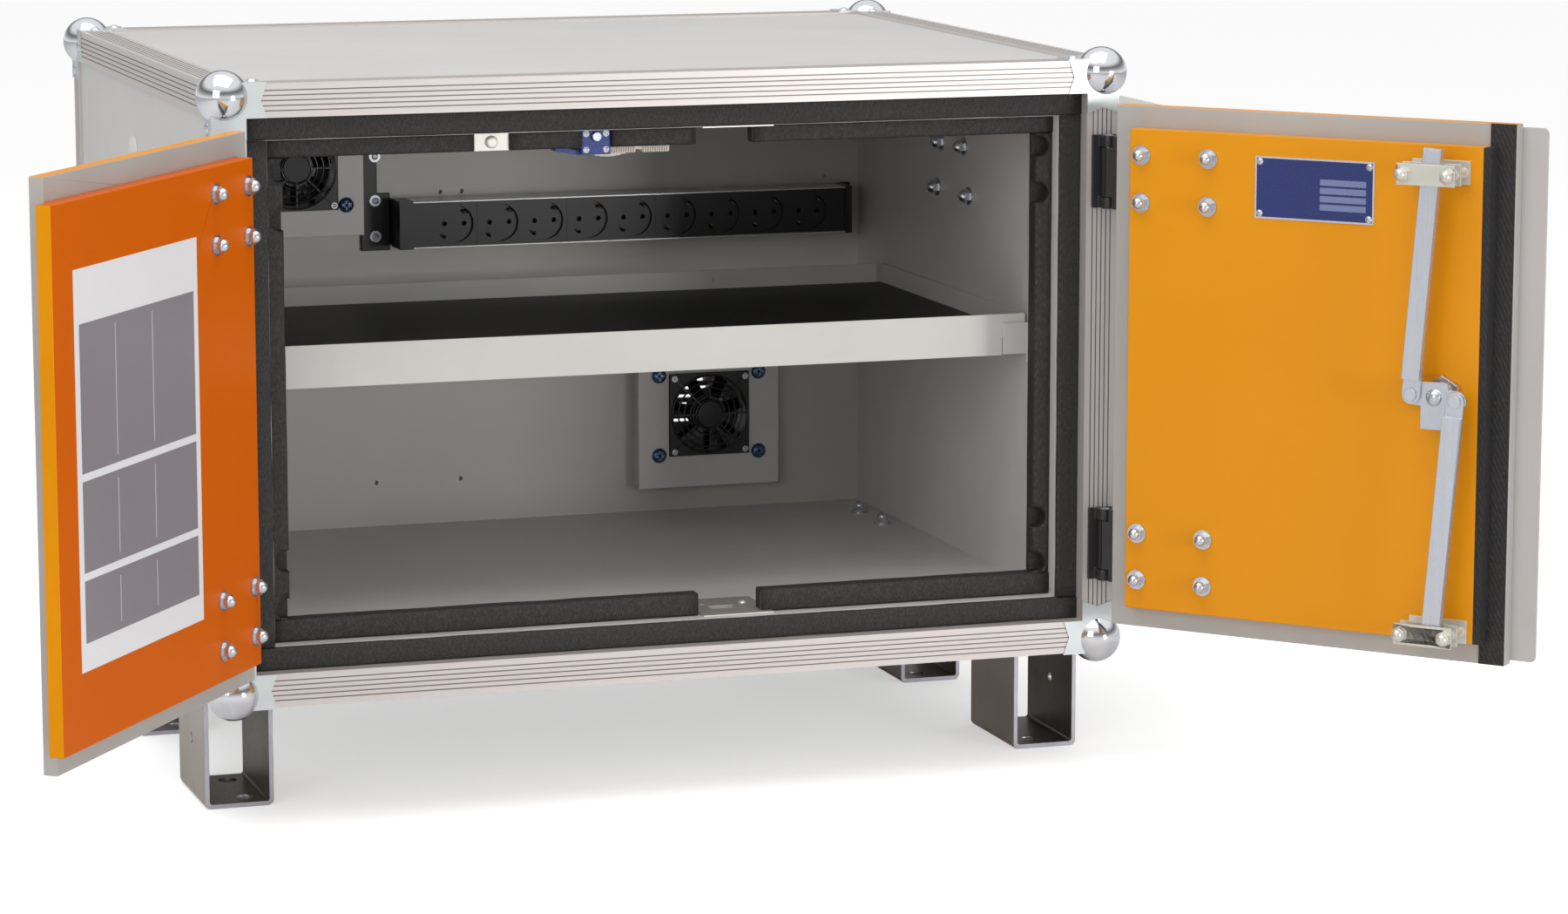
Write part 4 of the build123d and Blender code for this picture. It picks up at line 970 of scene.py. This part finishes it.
def add_disc(mesh, centre, facing, radius, thickness, sides=40):
    """Closed round plate in millimetres, its back on the centre point."""
    turn = Vector((0, 0, 1)).rotation_difference(Vector(facing)).to_matrix()
    rows = [[mesh.verts.new(centre + turn @ Vector((radius * math.cos(a), radius * math.sin(a), lift)) / 1000)
             for a in (2 * math.pi * side / sides for side in range(sides))] for lift in (0, thickness)]
    mesh.faces.new(list(reversed(rows[0])))
    mesh.faces.new(rows[1])
    for i in range(sides):
        j = (i + 1) % sides
        mesh.faces.new((rows[0][i], rows[0][j], rows[1][j], rows[1][i]))


points, sizes, corner_screws = [], [], []
spokes = bmesh.new()
for name in ("fan_frame_upper", "fan_frame_lower"):
    x, face, height = fan_middle(name)
    centre = place(x, face - guard_wire, height)
    points += [centre] * len(guard_radii)
    sizes += [(0, -radius / 1000, 0) for radius in guard_radii]
    for degrees in spoke_turns:
        reach = corner_offset * math.sqrt(2) if degrees % 90 else guard_radii[-1]
        turn = Matrix.Rotation(math.radians(degrees), 4, "Y")
        about_centre = Matrix.Translation(centre) @ turn @ Matrix.Translation(-centre)
        add_box(spokes, (x - reach, face - spoke_front, height - spoke_half_width),
                (x + reach, face - spoke_back, height + spoke_half_width), about_centre)
    add_disc(spokes, place(x, face, height), (0, -1, 0), guard_hub_radius, hub_gauge)
    corner_screws += [(x + sx * corner_offset, face - fan_screw_lift, height + sz * corner_offset)
                      for sx in (-1, 1) for sz in (-1, 1)]
guard = grown("guard_rings", points, sizes, make_ring_tree(),
              {"Wire": guard_wire / 1000, "Material": wire_black}, "case")
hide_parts("fan_guards")
new_piece("guard_spokes", spokes, "case", [wire_black])
screws("fan_corner_screws", places(corner_screws), (0, -1, 0), fan_screw, zinc, "case")

# Catch, switch and strikes
# A zinc bracket holds the ball catch of the left door. The blue switch beside it has a side lever
# and a white ribbed connector. Plates with slots catch the rod ends at top and bottom.

switch_screw = (2.3, 1.2, 2.6, 0.4)
switch_screw_inset = 4.2
lever_length = 21.0
lever_drop = 4.0
lever_depths = (6.0, 20.0)
lever_heights = (3.0, 7.0)
rib_pitch = 2.1
rib_width = 1.1
rib_count = 11
rib_depths = (0.0, 12.0)
rib_heights = (0.0, 7.5)
rib_starts = (4.0, 34.0)
plug_setback = 16.0
plug_drop = 1.0
plug_overlap = 1.0
plug_depths = (1.5, 11.0)
plug_heights = (0.6, 7.2)
bar_overlap = 6.0
bar_depths = (2.0, 10.0)
bar_heights = (2.5, 6.5)
strap_links = 9
strap_depths = (1.0, 7.0)
strap_heights = (-0.6, 1.2)
strap_thinning = 0.6
strap_start = 8.0
strap_run = 36.0
strap_link_length = 4.6
strap_sag = 3.2

warm_zinc = mottled("satin_zinc", (222, 218, 212), (208, 204, 198), (0.28, 0.4), metallic=0.7)
blue_plastic = mottled("blue_plastic", (44, 62, 138), (36, 52, 120), (0.22, 0.32))
white_plastic = mottled("white_plastic", (226, 218, 210), (214, 206, 198), (0.35, 0.45))
grey_plastic = mottled("grey_plastic", (150, 150, 148), (144, 144, 142), (0.4, 0.5), grain=0.2)
softened("catch_bracket", "case", [warm_zinc], edge=0.5)
softened("catch_knob", "catch_knob", [warm_zinc], edge=1.6)
softened("switch_box", "case", [blue_plastic], edge=0.8)
softened("switch_plunger", "switch_plunger", [zinc], edge=0.6)
softened("strike_top", "case", [warm_zinc], edge=0.3)
softened("strike_bottom", "case", [warm_zinc], edge=0.3)

switch_low, switch_high = node_span("switch_box")
switch_screws = [(x, switch_low[1], height)
                 for x in (switch_low[0] + switch_screw_inset, switch_high[0] - switch_screw_inset)
                 for height in (switch_low[2] + switch_screw_inset, switch_high[2] - switch_screw_inset)]
screws("switch_screws", places(switch_screws), (0, -1, 0), switch_screw, zinc, "case")


def add_block(mesh, x_from, x_to, start, depths, heights):
    """Closed block between two X, its depths and heights counted from a start (depth, height)."""
    depth, height = start
    return add_box(mesh, (x_from, depth + depths[0], height + heights[0]),
                   (x_to, depth + depths[1], height + heights[1]))


lever = bmesh.new()
faces = add_block(lever, switch_low[0] - lever_length, switch_low[0], switch_low[1:], lever_depths,
                  lever_heights)
switch_side_m = place(switch_low[0], 0, 0).x
for vert in {vert for face in faces for vert in face.verts if abs(vert.co.x - switch_side_m) < level_reach_m}:
    vert.co.z -= lever_drop / 1000
new_piece("switch_lever", lever, "case", [blue_plastic])

connector = bmesh.new()
plug_start = (switch_low[1] + plug_setback, switch_low[2] - plug_drop)
for start in rib_starts:
    left = switch_high[0] + start
    for i in range(rib_count):
        x = left + i * rib_pitch
        add_block(connector, x, x + rib_width, plug_start, rib_depths, rib_heights)
    add_block(connector, left - plug_overlap, left + rib_count * rib_pitch, plug_start, plug_depths,
              plug_heights)
add_block(connector, switch_high[0] - bar_overlap, switch_high[0] + rib_starts[1], plug_start, bar_depths,
          bar_heights)
for i in range(strap_links):
    along = i / (strap_links - 1)
    x = switch_low[0] + strap_start + strap_run * along
    sag = strap_sag * math.sin(math.pi * along)
    link_heights = (strap_heights[0] - sag, strap_heights[1] - sag * strap_thinning)
    add_block(connector, x, x + strap_link_length, (plug_start[0], switch_low[2]), strap_depths, link_heights)
new_piece("switch_connector", connector, "case", [white_plastic])

# Connection box and air outlets
# A folded steel box with a screwed lid hangs on the right side, with a cable gland under it. Two
# louvred plastic caps cover the air outlets in the back.

lid_screw_inset = 12.0
lid_screw = (3.4, 1.8, 4.4, 0.6)
softened("side_box", "case", [powder], edge=0.6)
softened("side_box_lid", "case", [powder], edge=1.2)
dress(grey_plastic, "vent_covers")
lid_low, lid_high = node_span("side_box_lid")
lid_screws = [(lid_high[0], depth, height)
              for depth in (lid_low[1] + lid_screw_inset, lid_high[1] - lid_screw_inset)
              for height in (lid_low[2] + lid_screw_inset, lid_high[2] - lid_screw_inset)]
screws("lid_screws", places(lid_screws), (1, 0, 0), lid_screw, zinc, "case")

# Hinges
# Two cast hinges a side, powder coated black. The fixed leaf is screwed to the rail and the strap
# is bolted through the door.

hinge_edge = 0.8
hinge_black = mottled("hinge_black", (46, 43, 44), (38, 36, 37), (0.3, 0.42), grain=0.2)
softened("fixed_hinge_leaves", "case", [hinge_black], hinge_edge)
softened("left_hinge_straps", "left_door", [hinge_black], hinge_edge)
softened("right_hinge_straps", "right_door", [hinge_black], hinge_edge)

# Left door
# An outer leaf of grey laminate with orange lipping along top and bottom, and an inner leaf faced
# with orange laminate that enters the mouth of the case. A bare printed sheet is stuck inside.

leaf_edge = 0.7
sheet_low = (-237.5, 110.5)
sheet_high = (-16.5, 418.0)
leaf_face_depth = 27.0
left_leaf_setback = 0.6
sheet_gauge = 0.3
panel_inset = 8.0
sheet_panels = ((262.0, 376.0), (186.0, 256.0), (132.0, 180.0))
column_lines = (62.0, 128.0)
line_half = 0.6
line_inset = 6.0
ink_gauge = 0.1

orange = mottled("orange_laminate", (228, 150, 10), (224, 145, 6), (0.34, 0.44), cloud=3.0,
                 gloss_level=0.25)
# Painted shade: a darker copy of the orange laminate for the faces of the left inner leaf.
shaded_orange = mottled("orange_laminate_painted_shade", (208, 97, 0), (203, 93, 0), (0.34, 0.44), cloud=3.0,
                      gloss_level=0.08)
free_edge = mottled("orange_edge", (226, 146, 0), (220, 140, 0), (0.4, 0.5), gloss_level=0.1)
band_grey = mottled("band_grey", (178, 176, 172), (170, 168, 164), (0.34, 0.44))


def door_swing(side):
    """Turn from the shut door to the open one."""
    name = f"{side}_door_hinge"
    joint = next(joint for joint in frame["record"]["behaviour"]["joints"] if joint["name"] == name)
    pin = Matrix.Translation(joint["pos_m"])
    turn = Matrix.Rotation(-math.radians(joint["range_deg"][0]), 4, Vector(joint["axis"]))
    return pin @ turn @ pin.inverted()


swings = {side: door_swing(side) for side in ("left", "right")}


def leaf_zone(side, inside, outside, rim, edge):
    """Chooser of material numbers for a leaf, by the way its faces look on the shut door."""
    back = swings[side].to_3x3().inverted()

    def choose(face):
        way = back @ face.normal
        if abs(way.z) > mostly:
            return rim
        if way.y > mostly:
            return inside
        return outside if way.y < -mostly else edge

    return choose


outer_materials = [laminate, band_grey, orange]
softened("left_outer_leaf", "left_door", outer_materials, leaf_edge,
         leaf_zone("left", inside=1, outside=0, rim=2, edge=1))
# The left inner leaf's faces take the orange with painted shade, and its side edges take the plain orange.
softened("left_inner_leaf", "left_door", [shaded_orange, free_edge], leaf_edge,
         leaf_zone("left", inside=0, outside=0, rim=0, edge=1))

sheet_white = mottled("sheet_white", (232, 232, 234), (226, 226, 228), (0.3, 0.36), cloud=3.0)
sheet_grey = mottled("sheet_grey", (138, 131, 137), (132, 126, 132), (0.3, 0.36), cloud=3.0)
sheet_pale = mottled("sheet_pale", (196, 195, 199), (190, 189, 193), (0.3, 0.36), cloud=3.0)
notice = bmesh.new()
seat = leaf_face_depth + left_leaf_setback
layers = [(sheet_low, sheet_high, 0, sheet_gauge, 0)]
for low, high in sheet_panels:
    left, right = sheet_low[0] + panel_inset, sheet_high[0] - panel_inset
    panel_face = sheet_gauge + ink_gauge
    layers.append(((left, low), (right, high), sheet_gauge, panel_face, 1))
    layers += [((right - line - line_half, low + line_inset), (right - line + line_half, high - line_inset),
                panel_face, panel_face + ink_gauge, 2)
               for line in column_lines]
for low, high, start, end, material_number in layers:
    box = (low[0], seat + start, low[1]), (high[0], seat + end, high[1])
    for face in add_box(notice, *box, swings["left"]):
        face.material_index = material_number
new_piece("bare_notice_sheet", notice, "left_door", [sheet_white, sheet_grey, sheet_pale])

# Right door
# The same two leaves, with a sheet metal astragal outside its free edge and woven seal strips
# behind it, where the left door laps on. A small bare plate is screwed inside.

plate_low = (121.7, 400.0)
plate_high = (231.0, 453.0)
plate_gauge = 0.8
plate_rim = 1.6
plate_screw_inset = 4.5
plate_screw = (2.6, 1.6, 3.0, 0.3)
enamel_gauge = 0.2
field_middle = 150.0
field_heights = (433.5, 426.5, 419.5, 412.5)
field_size = (42.0, 5.2)

astragal_sheet = mottled("astragal_sheet", (186, 181, 178), (180, 176, 173), (0.36, 0.46))
door_cloth = woven("door_seal_cloth", (25, 24, 24), (56, 53, 52))
softened("right_outer_leaf", "right_door", outer_materials, leaf_edge,
         leaf_zone("right", inside=1, outside=0, rim=2, edge=1))
softened("right_inner_leaf", "right_door", [orange], leaf_edge)
softened("astragal", "right_door", [astragal_sheet], edge=0.6)
dress(door_cloth, "right_door_seals")

plate_blue = mottled("plate_blue", (34, 50, 112), (28, 44, 104), (0.25, 0.32))
plate_silver = mottled("plate_silver", (216, 216, 220), (206, 206, 210), (0.25, 0.35), metallic=0.8)
field_blue = mottled("field_blue", (120, 132, 172), (112, 124, 164), (0.25, 0.32))
plate = bmesh.new()
field_seat = plate_gauge + enamel_gauge
layers = [(plate_low, plate_high, 0, plate_gauge, 0),
          ([value + plate_rim for value in plate_low], [value - plate_rim for value in plate_high],
           plate_gauge, field_seat, 1)]
layers += [((field_middle - field_size[0] / 2, height - field_size[1] / 2),
            (field_middle + field_size[0] / 2, height + field_size[1] / 2),
            field_seat, field_seat + ink_gauge, 2)
           for height in field_heights]
for low, high, start, end, material_number in layers:
    box = (low[0], leaf_face_depth + start, low[1]), (high[0], leaf_face_depth + end, high[1])
    for face in add_box(plate, *box, swings["right"]):
        face.material_index = material_number
new_piece("bare_type_plate", plate, "right_door", [plate_silver, plate_blue, field_blue])
plate_screws = [(x, leaf_face_depth + plate_gauge, height)
                for x in (plate_low[0] + plate_screw_inset, plate_high[0] - plate_screw_inset)
                for height in (plate_low[1] + plate_screw_inset, plate_high[1] - plate_screw_inset)]
screws("plate_screws", places(plate_screws), (0, 1, 0), plate_screw, zinc, "right_door", swings["right"])

# Dents in the inner seal
# The cap nuts nearest the hinges press into the foam when a door is shut, and it keeps their shape.

dent_clearance_m = 0.0008
dent_lead_m = 0.004
dent_sides = 32

dents = bmesh.new()
seal_front_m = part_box("inner_seal")[0][1]
for side in ("left", "right"):
    bolts = merged_copy(f"{side}_door_bolts")
    bolts.transform(swings[side].inverted())
    for faces in islands(bolts):
        spots = [vert.co for face in faces for vert in face.verts]
        deepest = max(spot.y for spot in spots) + dent_clearance_m
        if deepest > seal_front_m:
            reach = (max(spot.z for spot in spots) - min(spot.z for spot in spots)) / 2 + dent_clearance_m
            centre = middle_of(faces)
            centre.y = (seal_front_m - dent_lead_m + deepest) / 2
            bmesh.ops.create_cone(dents, cap_ends=True, segments=dent_sides, radius1=reach, radius2=reach,
                                  depth=deepest - seal_front_m + dent_lead_m,
                                  matrix=Matrix.Translation(centre) @ Matrix.Rotation(math.pi / 2, 4, "X"))
    bolts.free()
dent_mesh = bpy.data.meshes.new("dents")
dents.to_mesh(dent_mesh)
dents.free()
cutter = bpy.data.objects.new("dents", dent_mesh)
bpy.context.scene.collection.objects.link(cutter)
inner_cloth = bpy.data.objects["inner_seal_cloth"]
cut = inner_cloth.modifiers.new("dents", "BOOLEAN")
cut.object = cutter
graph = bpy.context.evaluated_depsgraph_get()
dented = bpy.data.meshes.new_from_object(inner_cloth.evaluated_get(graph), depsgraph=graph)
inner_cloth.modifiers.remove(cut)
inner_cloth.data = dented
bpy.data.objects.remove(cutter)

# Latch
# A threaded barrel through the right door carries the handle outside and a plate cam inside. Two
# square rods run from the cam to the guides, in bright zinc. The guides are pale plates on studs.

latch_edge = 0.5
pale_plate = mottled("pale_plate", (214, 212, 202), (204, 202, 192), (0.3, 0.4), metallic=0.5)
handle_black = mottled("handle_black", (24, 24, 25), (18, 18, 19), (0.35, 0.5), grain=0.3)
rod_zinc = mottled("rod_zinc", (206, 210, 218), (196, 200, 208), (0.24, 0.34), cloud=40.0,
                   metallic=0.8, stretch=(1, 1, streak))
softened("latch_barrel", "right_door", [zinc], latch_edge)
softened("latch_handle", "latch", [handle_black], edge=1.2)
softened("latch_cam", "latch", [rod_zinc], latch_edge)
softened("upper_rod", "upper_rod", [rod_zinc], latch_edge)
softened("lower_rod", "lower_rod", [rod_zinc], latch_edge)
softened("rod_guides", "right_door", [pale_plate], latch_edge)
